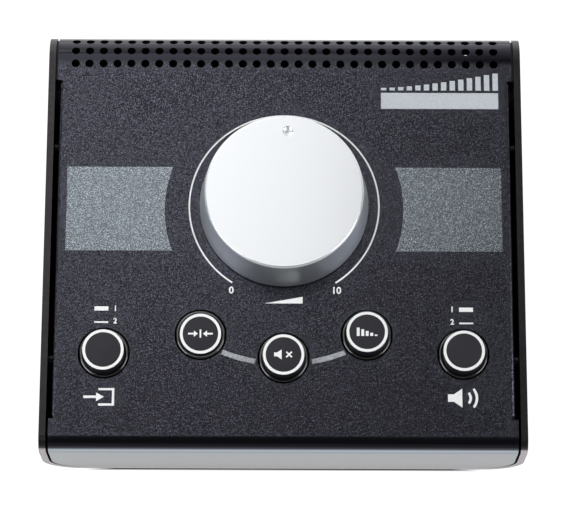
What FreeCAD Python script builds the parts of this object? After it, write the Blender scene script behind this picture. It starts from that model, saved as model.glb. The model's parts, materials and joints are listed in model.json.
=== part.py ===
# Desktop studio monitor controller: a sloped sheet-metal box with one large volume knob,
# five round push-push buttons and a row of jacks at the back.
#
# Row frame: millimetres, +Z up, +Y towards the back, origin on the desk under the middle of the
# object.  Panel frame, used by everything that hangs on the sloped panel: local X runs across,
# local Y up the slope from the front edge, and local Z out of the panel, which is at Z = 0.
import FreeCAD, Part
import math
import os
import re
import Sketcher

doc = FreeCAD.newDocument("monitor_controller")
sheet = doc.addObject("Spreadsheet::Sheet", "sizes")

# ---------------------------------------------------------------------------------------------
# Driving dimensions, in millimetres and degrees
# ---------------------------------------------------------------------------------------------
DRIVING = {
    # housing
    "slope": (10, "rise of the panel, degrees"),
    "wide": (169.1, "over the side walls"),
    "front_deep": (31.8, "front face, square to the panel"),
    "panel_run": (155.6, "panel plane from the front face to the back face"),
    "wall": (2.4, "bottom shell"),
    "skin": (1.2, "top cover sheet"),
    "fit_gap": (0.85, "cover edge to side wall"),
    "corner_round": (13, "lower side corners of the shell"),
    "front_roll": (5, "bend from the panel to the front face"),
    "rear_roll": (10, "bend from the panel to the back face"),
    "flange_from": (12.2, "side flange starts, up the slope"),
    "flange_short": (21.8, "side flange ends short of the back face"),
    "flange_drop": (14, "side flange depth"),
    "flange_roll": (1.3, "outside bend of the side flange"),
    "flange_inset": (0.85, "side flange set in from the cover's edge"),
    "relief_wide": (1.2, "bend relief slot"),
    "relief_deep": (1.8, "bend relief slot into the panel"),
    "lip_deep": (10, "cover lips that lie on the shell floor"),
    # vent holes
    "vent_round": (1.5, "vent hole radius"),
    "vent_side": (6.3, "last vent hole from the cover's side edge"),
    "vent_short": (14.3, "lowest vent row short of the back face"),
    "vent_count": (31, "holes in a row"),
    # feet and housing screws
    "foot_proud": (3, "foot height"),
    "foot_round": (5.5, "foot radius at the shell"),
    "foot_taper": (0.5, "foot radius lost at the desk"),
    "foot_inset": (16, "foot centre from the front or back face"),
    "foot_recess": (1.7, "depth of the screw recess"),
    "screw_round": (1.45, "housing screw shank"),
    "screw_clear": (0.1, "round a shank in its hole"),
    "screw_head": (2.8, "housing screw head radius"),
    "screw_head_high": (1.5, "housing screw head"),
    "screw_grip": (3, "shank past the last sheet"),
    "head_gap": (0.1, "round a countersunk head"),
    "drive_round": (1.1, "hex drive, across corners, half"),
    "drive_deep": (0.9, "hex drive depth"),
    "side_screw_front": (34, "front side screw, up the slope"),
    "side_screw_short": (43.6, "rear side screw short of the back face"),
    "side_screw_down": (8, "side screws below the panel"),
    "base_screw_out": (50, "base screws from the middle"),
    # volume knob and potentiometer
    "knob_up": (88.06, "knob axis, up the slope"),
    "knob_base": (29.85, "knob radius at the skirt"),
    "knob_top": (27.7, "knob radius at the top face"),
    "knob_high": (17.5, "top face above the panel"),
    "knob_gap": (1, "skirt above the panel"),
    "knob_chamfer": (0.5, "bright edge of the top face"),
    "knob_skin": (2.4, "skirt thickness"),
    "knob_cap": (3.2, "top face thickness"),
    "dimple_out": (22, "pointer dimple from the axis"),
    "dimple_round": (1.75, "pointer dimple radius"),
    "dimple_deep": (0.6, "pointer dimple depth"),
    "dimple_turn": (3.3, "pointer clockwise of straight up, degrees"),
    "hub_round": (8, "knob hub radius"),
    "hub_high": (8, "knob hub length"),
    "press_gap": (0.05, "round a pushed-on piece"),
    "shaft_round": (3, "pot shaft radius"),
    "shaft_tail": (2, "pot shaft radius inside the gangs"),
    "shaft_gap": (0.05, "running clearance of the shaft"),
    "shaft_top": (12.5, "shaft end above the panel"),
    "bush_round": (4.5, "threaded bush radius"),
    "bush_top": (5.5, "bush end above the panel"),
    "bush_gap": (0.3, "bush to panel hole"),
    "plate_side": (17, "pot front plate"),
    "plate_thick": (1.5, "pot front plate"),
    "gang_round": (8.4, "gang housing radius"),
    "gang_deep": (5.5, "gang housing depth"),
    "pot_nut_flats": (12, "pot nut across flats"),
    "pot_nut_high": (2, "pot nut"),
    "washer_round": (6.6, "pot washer radius"),
    "washer_thick": (0.5, "washers"),
    "pin_side": (0.7, "square terminal pins"),
    "pin_pitch": (5, "between terminal pins"),
    "pin_step": (1.8, "between the terminal rows of two gangs"),
    # buttons
    "cap_round": (7.35, "button cap radius"),
    "cap_edge": (0.2, "rounding of the cap's top edge"),
    "cap_out": (5, "cap top above the panel, released"),
    "cap_long": (8, "cap skirt length"),
    "cap_skin": (1.5, "cap wall"),
    "sleeve_gap": (0.3, "round a cap in its guide sleeve"),
    "sleeve_thick": (0.9, "guide sleeve wall"),
    "sleeve_out": (0.2, "sleeve rim above the panel"),
    "sleeve_edge": (0.3, "rounding of the sleeve's rim"),
    "hole_gap": (0.6, "round a sleeve in the panel"),
    "boss_round": (3.1, "boss inside the cap"),
    "boss_short": (1.5, "boss ends above the skirt's edge"),
    "latch_drop": (3.5, "latched cap below a released one"),
    "select_inset": (22, "two selector buttons from the side wall's outside"),
    "select_up": (34.3, "selector buttons, up the slope"),
    "mode_reach": (55.3, "three mode buttons from the knob axis"),
    "mode_turn": (31.6, "outer mode buttons from straight down, degrees"),
    "plunger_round": (1.7, "switch plunger radius"),
    "plunger_gap": (0.06, "running clearance of the plunger"),
    "plunger_long": (10.5, "switch plunger"),
    "guide_floor": (0.15, "bottom of the plunger's guide"),
    "switch_side": (8, "switch body"),
    "switch_high": (7, "switch body"),
    # boards
    "board_down": (13, "control board's top below the panel"),
    "board_thick": (1.6, "both boards"),
    "board_side_gap": (5.95, "control board to the cover's side flange"),
    "board_from": (20, "control board starts, up the slope"),
    "board_short": (41.6, "control board ends short of the back face"),
    "pot_clear": (1.2, "round the pot in the board"),
    "stud_across": (45, "board studs from the middle"),
    "stud_inset": (6, "board studs from the board's edge"),
    "stud_round": (2.5, "board studs and posts"),
    "small_screw": (1.25, "board screw shank"),
    "small_head": (2.5, "board screw head radius"),
    "small_head_high": (1.6, "board screw head"),
    "small_grip": (5, "board screw length in its stud"),
    "resistor_round": (1.2, "resistor body radius"),
    "resistor_long": (6.3, "resistor body"),
    "resistor_pitch": (6, "between resistors"),
    "resistor_up": (62, "resistor row, up the slope"),
    "resistor_out": (18, "first resistor from the middle"),
    # jacks
    "jack_high": (24, "jack axis above the desk"),
    "jack_side_gap": (1.65, "last jack to the cover's side flange"),
    "jack_apart": (1.9, "between two jack bodies"),
    "mini_room": (18.4, "between the two middle jacks, for the small jack"),
    "jack_bore": (3.2, "quarter inch jack bore radius"),
    "jack_bore_long": (31, "bore depth from the mouth"),
    "jack_tall": (15, "jack body height"),
    "jack_body": (27, "jack body length"),
    "jack_thread": (5.6, "jack bush radius"),
    "jack_reach": (4.6, "jack bush past the back face"),
    "jack_nut_flats": (14, "jack nut across flats"),
    "jack_nut_high": (2.2, "jack nut"),
    "jack_washer": (7.4, "jack washer radius"),
    "thread_gap": (0.1, "nut and washer round a thread"),
    "mini_bore": (1.8, "3.5 mm jack bore radius"),
    "mini_bore_long": (14, "small bore depth from the mouth"),
    "mini_side": (8, "small jack body"),
    "mini_tall": (7, "small jack body height"),
    "mini_body": (12, "small jack body length"),
    "mini_thread": (3, "small jack bush radius"),
    "mini_reach": (3.2, "small jack bush past the back face"),
    "mini_nut": (4.2, "small round nut radius"),
    "lock_wide": (7, "lock slot"),
    "lock_tall": (3, "lock slot"),
    "lock_inset": (18.4, "lock slot from the side wall's outside"),
    "lock_high": (42, "lock slot above the desk"),
    "jack_board_gap": (2.95, "jack board to the cover's side flange"),
    "jack_board_ahead": (15, "jack board in front of the jacks"),
    "jack_board_back": (2.5, "jack board short of the back face's inside"),
    "post_across": (50, "jack board posts from the middle"),
    # internal flat cable
    "header_wide": (16, "both cable headers"),
    "header_deep": (6, "both cable headers"),
    "header_high": (6, "both cable headers"),
    "header_inset": (8, "headers from their board's edge"),
    "ribbon_across": (28, "flat cable and both headers from the middle"),
    "ribbon_wide": (12.7, "flat cable"),
    "ribbon_thick": (0.9, "flat cable"),
    "ribbon_bend": (4, "bends of the flat cable"),
}

# Sizes that follow from the driving ones
FOLLOWING = {
    "lift": "sin(slope * 1 deg)",
    "level": "cos(slope * 1 deg)",
    "half_wide": "wide / 2",
    "shell_in": "half_wide - wall",
    "cover_half": "shell_in - fit_gap",
    "flange_half": "cover_half - flange_inset",
    "inner_half": "flange_half - skin",
    "flange_to": "panel_run - flange_short",
    "side_screw_rear": "panel_run - side_screw_short",
    "vent_up": "panel_run - vent_short",
    "vent_pitch": "2 * (cover_half - vent_side) / (vent_count - 1)",
    "floor_z": "foot_proud + wall",
    "front_y": "-(front_roll * (level + lift - 1) + panel_run * level + jack_reach) / 2",
    "front_z": "foot_proud + front_deep * level",
    "rear_y": "front_y + panel_run * level",
    "foot_across": "half_wide - corner_round - foot_round",
    "front_foot_y": "front_y + (front_z - foot_proud) * lift / level + foot_inset",
    "rear_foot_y": "rear_y - foot_inset",
    "front_lip_y": "front_y + (front_z - floor_z) * lift / level + skin",
    "rear_lip_y": "rear_y - skin",
    "select_across": "half_wide - select_inset",
    "mode_across": "mode_reach * sin(mode_turn * 1 deg)",
    "mode_up": "knob_up - mode_reach * cos(mode_turn * 1 deg)",
    "mute_up": "knob_up - mode_reach",
    "sleeve_inside": "cap_round + sleeve_gap",
    "sleeve_round": "sleeve_inside + sleeve_thick",
    "hole_round": "sleeve_round + hole_gap",
    "hub_foot": "knob_high - knob_cap - hub_high",
    "gang_top": "skin + plate_thick",
    "board_low": "board_down + board_thick",
    "board_half": "inner_half - board_side_gap",
    "board_to": "panel_run - board_short",
    "jack_pitch": "(inner_half - jack_side_gap - mini_room / 2 + jack_apart) / 4",
    "jack_side": "jack_pitch - jack_apart",
    "jack_first": "(mini_room + jack_side) / 2",
    "jack_board_half": "inner_half - jack_board_gap",
    "lock_across": "half_wide - lock_inset",
    "jack_front_y": "rear_y - skin - jack_body",
    "jack_board_z": "jack_high - jack_tall / 2",
    "jack_board_y": "jack_front_y - jack_board_ahead",
    "mini_high": "jack_board_z + mini_tall / 2",
}

for row, (alias, (number, note)) in enumerate(DRIVING.items(), 1):
    sheet.set(f"A{row}", note)
    sheet.set(f"B{row}", str(number))
    sheet.setAlias(f"B{row}", alias)
for row, (alias, formula) in enumerate(FOLLOWING.items(), len(DRIVING) + 1):
    sheet.set(f"B{row}", "=" + formula)
    sheet.setAlias(f"B{row}", alias)
doc.recompute()

ALIASES = set(DRIVING) | set(FOLLOWING)
ACROSS = FreeCAD.Vector(1, 0, 0)
UP_SLOPE = FreeCAD.Vector(0, 1, 0)
OUT_OF_PANEL = FreeCAD.Vector(0, 0, 1)
TINY = 1e-4
REACH = 400  # longer than the whole object, for cuts that go right through
nodes = []


# ---------------------------------------------------------------------------------------------
# Helpers
# ---------------------------------------------------------------------------------------------
def named(formula):
    """The formula with every name of the sheet written the way other objects read it."""
    return re.sub(r"[a-z_]+", lambda m: "sizes." + m[0] if m[0] in ALIASES else m[0], str(formula))


def value(formula):
    """The number that a formula in the sheet's names gives now."""
    found = sheet.evalExpression(str(formula))
    return float(getattr(found, "Value", found))


def place(piece, across=0, back=0, up=0):
    """Put a piece at a point that follows the sheet, in the frame it is drawn in."""
    for axis, formula in (("x", across), ("y", back), ("z", up)):
        piece.setExpression("Placement.Base." + axis, named(formula))
    return piece


def turn(piece, axis, degrees):
    """Turn a piece about an axis through its own origin, by an angle that follows the sheet."""
    piece.Placement = FreeCAD.Placement(piece.Placement.Base, FreeCAD.Rotation(axis, 1))
    piece.setExpression("Placement.Rotation.Angle", f"({named(degrees)}) * 1 deg")
    return piece


def on_panel(piece, across=0, up=0, out=0):
    """Stand a piece drawn in its own frame on the sloped panel, up the slope and out of it."""
    turn(piece, ACROSS, "slope")
    back = f"front_y + ({up}) * level - ({out}) * lift"
    high = f"front_z + ({up}) * lift + ({out}) * level"
    return place(piece, across, back, high)


def to_rear(piece, across, high, past="0"):
    """Point a piece's Z axis out of the back face, with its origin that far past the face."""
    turn(piece, ACROSS, "-90")
    return place(piece, across, f"rear_y + ({past})", high)


def primitive(kind, name, **sizes):
    """A Part primitive whose properties are formulas in the sheet's names."""
    piece = doc.addObject("Part::" + kind, name)
    for prop, formula in sizes.items():
        piece.setExpression(prop, named(formula))
    return piece


def rod(name, radius, long, start=0):
    """A cylinder on the Z axis."""
    return place(primitive("Cylinder", name, Radius=radius, Height=long), up=start)


def block(name, wide, deep, high, across=0, back=0, start=0):
    """A box centred across and back, standing on its start height."""
    piece = primitive("Box", name, Length=wide, Width=deep, Height=high)
    return place(piece, f"({across}) - ({wide}) / 2", f"({back}) - ({deep}) / 2", start)


def slab(name, left, right, front, back, low, high):
    """A box between six limits."""
    piece = primitive("Box", name, Length=f"({right}) - ({left})", Width=f"({back}) - ({front})",
                      Height=f"({high}) - ({low})")
    return place(piece, left, front, low)


def hexagon(name, flats, high, start=0):
    """A hexagonal prism on the Z axis, by its width across flats, two of them facing sideways."""
    corner = f"({flats}) / 2 / cos(30 deg)"
    piece = primitive("Prism", name, Circumradius=corner, Height=high)
    piece.Polygon = 6
    turn(piece, OUT_OF_PANEL, "30")
    return place(piece, up=start)


def cut(name, base, *tools):
    """The base less the tools, which may lie apart or overlap."""
    piece = doc.addObject("Part::Cut", name)
    piece.Base = base
    piece.Tool = tools[0] if len(tools) == 1 else fuse(name + "_tools", *tools)
    return piece


def fuse(name, *parts):
    """One solid from parts that meet."""
    piece = doc.addObject("Part::MultiFuse", name)
    piece.Shapes = list(parts)
    return piece


def group(name, *parts):
    """Separate solids kept together."""
    piece = doc.addObject("Part::Compound", name)
    piece.Links = list(parts)
    return piece


def common(name, *parts):
    """What two solids share."""
    piece = doc.addObject("Part::Common", name)
    piece.Base, piece.Tool = parts
    return piece


def finished(piece, label):
    """Keep a piece as a sub-part under its own name."""
    piece.Label = label
    nodes.append(piece)
    return piece


def outline(body, name, plane, corners):
    """A closed sketch on an origin plane, with each corner held by two formulas."""
    sketch = body.newObject("Sketcher::SketchObject", name)
    support = next(item for item in body.Origin.OriginFeatures if item.Role == plane)
    sketch.AttachmentSupport = [(support, "")]
    sketch.MapMode = "FlatFace"
    spots = [FreeCAD.Vector(value(x), value(y), 0) for x, y in corners]
    for here, there in zip(spots, spots[1:] + spots[:1]):
        sketch.addGeometry(Part.LineSegment(here, there))
    for line in range(len(corners)):
        after = (line + 1) % len(corners)
        sketch.addConstraint(Sketcher.Constraint("Coincident", line, 2, after, 1))
    for line, (corner, spot) in enumerate(zip(corners, spots)):
        for kind, formula, now in zip(("DistanceX", "DistanceY"), corner, (spot.x, spot.y)):
            held = sketch.addConstraint(Sketcher.Constraint(kind, -1, 1, line, 1, now))
            sketch.setExpression(f"Constraints[{held}]", named(formula))
    return sketch


def padded(name, plane, corners, long):
    """A body with one sketch padded evenly to both sides of its plane."""
    body = doc.addObject("PartDesign::Body", name)
    pad = body.newObject("PartDesign::Pad", name + "_pad")
    pad.Profile = outline(body, name + "_sketch", plane, corners)
    pad.SideType = "Symmetric"
    pad.setExpression("Length", named(long))
    doc.recompute()
    return body


def turned(name, corners):
    """A body turned about Z from a half section: each corner is a radius and a height."""
    body = doc.addObject("PartDesign::Body", name)
    sketch = outline(body, name + "_sketch", "XZ_Plane", corners)
    spin = body.newObject("PartDesign::Revolution", name + "_turn")
    spin.Profile = sketch
    spin.ReferenceAxis = (sketch, ["V_Axis"])
    doc.recompute()
    return body


def edges_through(shape, along, spots):
    """Names of the straight edges that run along a direction through one of the spots."""
    found = []
    for number, edge in enumerate(shape.Edges, 1):
        if edge.Curve.TypeId != "Part::GeomLine" or edge.Curve.Direction.cross(along).Length > TINY:
            continue
        start = edge.Vertexes[0].Point
        if any((spot - start).cross(along).Length < TINY for spot in spots):
            found.append(f"Edge{number}")
    return found


def rounded(body, radius, edges):
    """Add a fillet to a body's named edges."""
    before = body.Tip
    fillet = body.newObject("PartDesign::Fillet", body.Name + "_round")
    fillet.Base = (before, edges)
    fillet.setExpression("Radius", named(radius))
    doc.recompute()
    return body


def round_edges(body, radius):
    """Names of a turned body's circular edges of the given radius at its highest point."""
    top = body.Shape.BoundBox.ZMax
    return [f"Edge{number}" for number, edge in enumerate(body.Shape.Edges, 1)
            if edge.Curve.TypeId == "Part::GeomCircle" and abs(edge.Curve.Radius - radius) < TINY
            and abs(edge.Curve.Center.z - top) < TINY]


# ---------------------------------------------------------------------------------------------
# Housing: a U of thick sheet that makes the floor and side walls, and a folded cover inside it
# ---------------------------------------------------------------------------------------------
def side_block(name, inset, low, half):
    """The housing's side outline, moved in by a sheet's thickness, as a solid across the box."""
    front_top = (f"front_y + ({inset}) * (level + lift)", f"front_z + ({inset}) * (lift - level)")
    rear_top = (f"rear_y - ({inset})",
                f"front_z + ((panel_run * level - ({inset})) * lift - ({inset})) / level")
    rear_low = (f"rear_y - ({inset})", low)
    front_low = (f"front_y + (({inset}) - (({low}) - front_z) * lift) / level", low)
    body = padded(name, "YZ_Plane", [front_top, rear_top, rear_low, front_low], f"2 * ({half})")
    for radius, (back, high) in (("front_roll", front_top), ("rear_roll", rear_top)):
        spot = FreeCAD.Vector(0, value(back), value(high))
        rounded(body, f"{radius} - ({inset})", edges_through(body.Shape, ACROSS, [spot]))
    return body


def trough(name, half, low, radius):
    """The housing's front view, open upwards: straight sides and two round lower corners."""
    high = "front_z + panel_run"
    corners = [(f"-({half})", low), (half, low), (half, high), (f"-({half})", high)]
    body = padded(name, "XZ_Plane", corners, "2 * panel_run")
    spots = [FreeCAD.Vector(side * value(half), 0, value(low)) for side in (-1, 1)]
    return rounded(body, radius, edges_through(body.Shape, UP_SLOPE, spots))


def side_holes(name, radius, from_out, to_out):
    """Holes across the box for the side screws, between two distances from the middle."""
    drilled = []
    for side in (-1, 1):
        for end, up in (("front", "side_screw_front"), ("rear", "side_screw_rear")):
            hole = rod(f"{name}_{end}", radius, f"({to_out}) - ({from_out})", from_out)
            drilled.append(side_turned(hole, side, up))
    return drilled


def side_turned(piece, side, up):
    """Point a piece drawn along Z out of one side of the box, at a side screw's height."""
    held = group(piece.Name + "_held", piece)
    turn(held, UP_SLOPE, str(90 * side))
    return place(held, 0, f"front_y + {up} * level + side_screw_down * lift",
                 f"front_z + {up} * lift - side_screw_down * level")


def base_spots():
    """The four base screws: across, back and name."""
    for side, hand in ((-1, "left"), (1, "right")):
        yield f"{side} * base_screw_out", "front_lip_y + lip_deep / 2", "front_" + hand
        yield f"{side} * base_screw_out", "rear_lip_y - lip_deep / 2", "rear_" + hand


def foot_spots():
    """The four feet: across, back and name."""
    for side, hand in ((-1, "left"), (1, "right")):
        yield f"{side} * foot_across", "front_foot_y", "front_" + hand
        yield f"{side} * foot_across", "rear_foot_y", "rear_" + hand


def bottom_shell():
    u_sheet = cut("u_sheet", trough("shell_outside", "half_wide", "foot_proud", "corner_round"),
                  trough("shell_inside", "shell_in", "floor_z", "corner_round - wall"))
    trimmed = common("shell_trimmed", u_sheet, side_block("shell_side", "0", "0", "wide"))
    holes = side_holes("side_clear", "screw_round + screw_clear", "0", "half_wide + 1")
    for side in (-1, 1):
        for end in ("front", "rear"):
            sink = primitive("Cone", "side_sink_" + end, Radius1="screw_round + screw_clear",
                             Radius2="screw_head + head_gap", Height="screw_head_high")
            place(sink, up="half_wide - screw_head_high")
            holes.append(side_turned(sink, side, "side_screw_" + end))
    for across, back, spot in list(base_spots()) + list(foot_spots()):
        hole = rod("floor_hole_" + spot, "screw_round + screw_clear", "floor_z")
        holes.append(place(hole, across, back, 0))
    for side in (-1, 1):
        post_hole = rod("post_hole", "small_screw + screw_clear", "floor_z")
        holes.append(place(post_hole, f"{side} * post_across", "jack_board_y + stud_inset", 0))
    return finished(cut("bottom_shell", trimmed, *holes), "bottom_shell")


def vent_holes():
    """Three rows: the lowest on the flat, the others carried round the rear bend."""
    holes = []
    bend_start = value("panel_run - rear_roll * tan((90 + slope) / 2 * 1 deg)")
    columns = int(value("vent_count"))
    for row in range(3):
        run = f"vent_up + {row} * vent_pitch"
        past = max(0.0, value(run) - bend_start)
        lean = f"-({past / value('rear_roll')!r}) * 180 / pi"
        drills = []
        for column in range(columns):
            drill = rod(f"vent_{row}_{column}", "vent_round", "4 * skin", "rear_roll - 3 * skin")
            drills.append(drill)
            place(drill, f"({column} - (vent_count - 1) / 2) * vent_pitch", 0, "rear_roll - 3 * skin")
        fan = group(f"vent_row_{row}", *drills)
        turn(fan, ACROSS, lean)
        held = group(f"vent_fan_{row}", fan)
        centre = run if past == 0 else "panel_run - rear_roll * tan((90 + slope) / 2 * 1 deg)"
        holes.append(on_panel(held, 0, centre, "-rear_roll"))
    return holes


def top_cover():
    sheet_run = cut("cover_run", side_block("cover_outside", "0", "floor_z", "cover_half"),
                    side_block("cover_inside", "skin", "0", "wide"))
    folded = common("cover_folded", sheet_run,
                    trough("cover_front", "cover_half", "floor_z", "corner_round - wall"))
    cuts = []
    adds = []
    for side in (-1, 1):
        edge = f"{side} * flange_half"
        bend = f"{side} * (flange_half - flange_roll)"
        far = f"{side} * (cover_half + 1)"
        slot = f"{side} * (cover_half - relief_deep)"
        ends = (bend, far) if side > 0 else (far, bend)
        slot_ends = (slot, far) if side > 0 else (far, slot)
        strip = slab("flange_strip", *ends, "flange_from", "flange_to", "-2 * flange_roll", "1")
        cuts.append(on_panel(group("flange_strip_held", strip)))
        for start in ("flange_from - relief_wide", "flange_to"):
            relief = slab("relief", *slot_ends, start, f"{start} + relief_wide", "-2 * skin", "1")
            cuts.append(on_panel(group("relief_held", relief)))
        wall_ends = (f"{edge} - {side} * skin", edge) if side > 0 else (edge, f"{edge} - {side} * skin")
        flange = slab("flange_wall", *wall_ends, "flange_from", "flange_to", "-flange_drop",
                      "-flange_roll")
        bend_rod = rod("flange_bend", "flange_roll", "flange_to - flange_from")
        turn(bend_rod, ACROSS, "-90")
        place(bend_rod, bend, "flange_from", "-flange_roll")
        bead = common("flange_bead", bend_rod,
                      slab("bead_clip", *((bend, edge) if side > 0 else (edge, bend)), "flange_from",
                           "flange_to", "-flange_roll", "0"))
        adds.append(on_panel(group("flange_bead_held", bead)))
        adds.append(on_panel(group("flange_wall_held", flange)))
    lip_half = "cover_half - corner_round"
    adds.append(slab("front_lip", f"-({lip_half})", lip_half, "front_lip_y - skin / 2",
                     "front_lip_y + lip_deep", "floor_z", "floor_z + skin"))
    adds.append(slab("rear_lip", f"-({lip_half})", lip_half, "rear_lip_y - lip_deep",
                     "rear_lip_y + skin / 2", "floor_z", "floor_z + skin"))
    bare = fuse("cover_bare", cut("cover_notched", folded, *cuts), *adds)
    bores = vent_holes()
    bores += side_holes("side_tap", "screw_round + screw_clear / 2", "0", "wide")
    for across, back, spot in base_spots():
        tap = rod("lip_tap_" + spot, "screw_round + screw_clear / 2", "4 * skin")
        bores.append(place(tap, across, back, "floor_z - skin"))
    for name, across, up in BUTTONS:
        hole = rod(name + "_hole", "hole_round", "4 * skin", "-3 * skin")
        bores.append(on_panel(group(name + "_hole_held", hole), across, up))
    pot_hole = rod("pot_hole", "bush_round + bush_gap", "4 * skin", "-3 * skin")
    bores.append(on_panel(group("pot_hole_held", pot_hole), 0, "knob_up"))
    for name, across in JACKS:
        hole = rod(name + "_hole", "jack_thread + thread_gap", "4 * skin")
        bores.append(to_rear(hole, across, "jack_high", "-3 * skin"))
    mini_hole = rod("mini_hole", "mini_thread + thread_gap", "4 * skin")
    bores.append(to_rear(mini_hole, "0", "mini_high", "-3 * skin"))
    bores.append(slab("lock_slot", "lock_across - lock_wide / 2", "lock_across + lock_wide / 2",
                      "rear_y - 3 * skin", "rear_y + skin", "lock_high - lock_tall / 2",
                      "lock_high + lock_tall / 2"))
    return finished(cut("top_cover", bare, *bores), "top_cover")


def feet():
    for across, back, spot in foot_spots():
        pad = primitive("Cone", "foot_pad_" + spot, Radius1="foot_round - foot_taper",
                        Radius2="foot_round", Height="foot_proud")
        bore = rod("foot_bore_" + spot, "screw_round + screw_clear", "foot_proud")
        recess = rod("foot_recess_" + spot, "screw_head + screw_clear", "foot_recess")
        foot = cut("foot_" + spot, pad, bore, recess)
        finished(place(foot, across, back), "foot_" + spot)


def pan_screw(name, shank, head, head_high, long):
    """A screw that points up Z, with its head below zero and a hexagon drive."""
    top = rod(name + "_head", head, head_high, f"-({head_high})")
    body = fuse(name + "_body", top, rod(name + "_shank", shank, long))
    drive = hexagon(name + "_drive", "2 * drive_round * cos(30 deg)", "drive_deep", f"-({head_high})")
    return cut(name, body, drive)


def housing_screws():
    in_feet = []
    for across, back, spot in foot_spots():
        screw = pan_screw("foot_screw_" + spot, "screw_round", "screw_head",
                          "foot_recess - screw_clear", "floor_z + screw_grip - foot_recess")
        in_feet.append(place(screw, across, back, "foot_recess"))
    finished(group("foot_screws", *in_feet), "foot_screws")
    in_base = []
    for across, back, spot in base_spots():
        screw = pan_screw("base_screw_" + spot, "screw_round", "screw_head", "screw_head_high",
                          "wall + skin + screw_grip")
        in_base.append(place(screw, across, back, "foot_proud"))
    finished(group("base_screws", *in_base), "base_screws")
    in_sides = []
    for side in (-1, 1):
        for end in ("front", "rear"):
            head = primitive("Cone", "side_head", Radius1="screw_round", Radius2="screw_head",
                             Height="screw_head_high")
            place(head, up="half_wide - screw_head_high")
            shank_from = "inner_half - screw_grip"
            shank = rod("side_shank", "screw_round", f"half_wide - ({shank_from}) - head_gap", shank_from)
            drive = hexagon("side_drive", "2 * drive_round * cos(30 deg)", "drive_deep",
                            "half_wide - drive_deep")
            screw = cut("side_screw", fuse("side_screw_body", head, shank), drive)
            in_sides.append(side_turned(screw, side, "side_screw_" + end))
    finished(group("side_screws", *in_sides), "side_screws")


# ---------------------------------------------------------------------------------------------
# Volume knob and the four-gang potentiometer that carries it
# ---------------------------------------------------------------------------------------------
def volume_knob():
    cavity = "knob_base - knob_skin"
    cup = turned("knob_cup", [
        ("0", "knob_high"), ("knob_top - knob_chamfer", "knob_high"),
        ("knob_top", "knob_high - knob_chamfer"), ("knob_base", "knob_gap"),
        (cavity, "knob_gap"), ("knob_top - knob_skin", "knob_high - knob_cap"),
        ("0", "knob_high - knob_cap")])
    ball = "(dimple_round ^ 2 + dimple_deep ^ 2) / (2 * dimple_deep)"
    dimple = primitive("Sphere", "dimple", Radius=ball)
    swing = "(90 - dimple_turn) * 1 deg"
    place(dimple, f"dimple_out * cos({swing})", f"dimple_out * sin({swing})",
          f"knob_high + {ball} - dimple_deep")
    knob = cut("volume_knob", cup, dimple)
    finished(on_panel(knob, 0, "knob_up"), "volume_knob")
    hub = cut("knob_hub", rod("hub_rod", "hub_round", "hub_high", "hub_foot"),
              rod("hub_bore", "shaft_round + press_gap", "shaft_top + press_gap"))
    finished(on_panel(hub, 0, "knob_up"), "knob_hub")


def potentiometer():
    tail = "gang_top + 4 * gang_deep - skin"
    shaft = turned("pot_shaft", [
        ("0", "shaft_top"), ("shaft_round", "shaft_top"), ("shaft_round", "-gang_top"),
        ("shaft_tail", "-gang_top"), ("shaft_tail", f"-({tail})"), ("0", f"-({tail})")])
    finished(on_panel(shaft, 0, "knob_up"), "pot_shaft")
    plate = block("bush_plate", "plate_side", "plate_side", "plate_thick", start="-gang_top")
    thread = rod("bush_thread", "bush_round", "bush_top + gang_top", "-gang_top")
    bush = cut("pot_bushing", fuse("bush_body", plate, thread),
               rod("bush_bore", "shaft_round + shaft_gap", "bush_top + gang_top", "-gang_top"))
    finished(on_panel(bush, 0, "knob_up"), "pot_bushing")
    washer = cut("pot_washer", rod("washer_disc", "washer_round", "washer_thick"),
                 rod("washer_bore", "bush_round + thread_gap", "washer_thick"))
    finished(on_panel(washer, 0, "knob_up"), "pot_washer")
    nut = cut("pot_nut", hexagon("pot_nut_hex", "pot_nut_flats", "pot_nut_high", "washer_thick"),
              rod("pot_nut_bore", "bush_round + thread_gap", "pot_nut_high", "washer_thick"))
    finished(on_panel(nut, 0, "knob_up"), "pot_nut")
    for gang in range(4):
        low = f"-(gang_top + {gang + 1} * gang_deep)"
        ring = cut(f"pot_gang_{gang + 1}", rod("gang_can", "gang_round", "gang_deep", low),
                   rod("gang_bore", "shaft_tail + shaft_gap", "gang_deep", low))
        finished(on_panel(ring, 0, "knob_up"), f"pot_gang_{gang + 1}")
    pins = []
    for gang in range(4):
        above = gang < 2
        rank = gang if above else 3 - gang
        out = f"-(gang_round + pot_clear + pin_side + (2 - {rank}) * pin_step)"
        mid = f"-(gang_top + ({gang} + 0.5) * gang_deep)"
        for column in (-1, 0, 1):
            middle = f"{column} * pin_pitch"
            edges = (f"{middle} - pin_side / 2", f"{middle} + pin_side / 2")
            arm = slab("pin_arm", *edges, out, "-sqrt(gang_round ^ 2 - (pin_pitch + pin_side) ^ 2)",
                       f"{mid} - pin_side / 2", f"{mid} + pin_side / 2")
            reach = ("-board_low", mid) if above else (mid, "-board_down")
            leg = slab("pin_leg", *edges, out, f"{out} + pin_side", *reach)
            can = rod("pin_can", "gang_round + press_gap", "2 * board_low + 4 * gang_deep",
                      "-(board_low + 4 * gang_deep)")
            pins.append(cut(f"pin_{gang}_{column + 1}", fuse("pin_body", arm, leg), can))
    finished(on_panel(group("pot_terminals", *pins), 0, "knob_up"), "pot_terminals")


# ---------------------------------------------------------------------------------------------
# Five push-push buttons, each in a guide sleeve that stands on the control board
# ---------------------------------------------------------------------------------------------
BUTTONS = [
    ("source", "-select_across", "select_up"),
    ("mono", "-mode_across", "mode_up"),
    ("mute", "0", "mute_up"),
    ("dim", "mode_across", "mode_up"),
    ("monitor", "select_across", "select_up"),
]
LATCHED = "mono"


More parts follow.
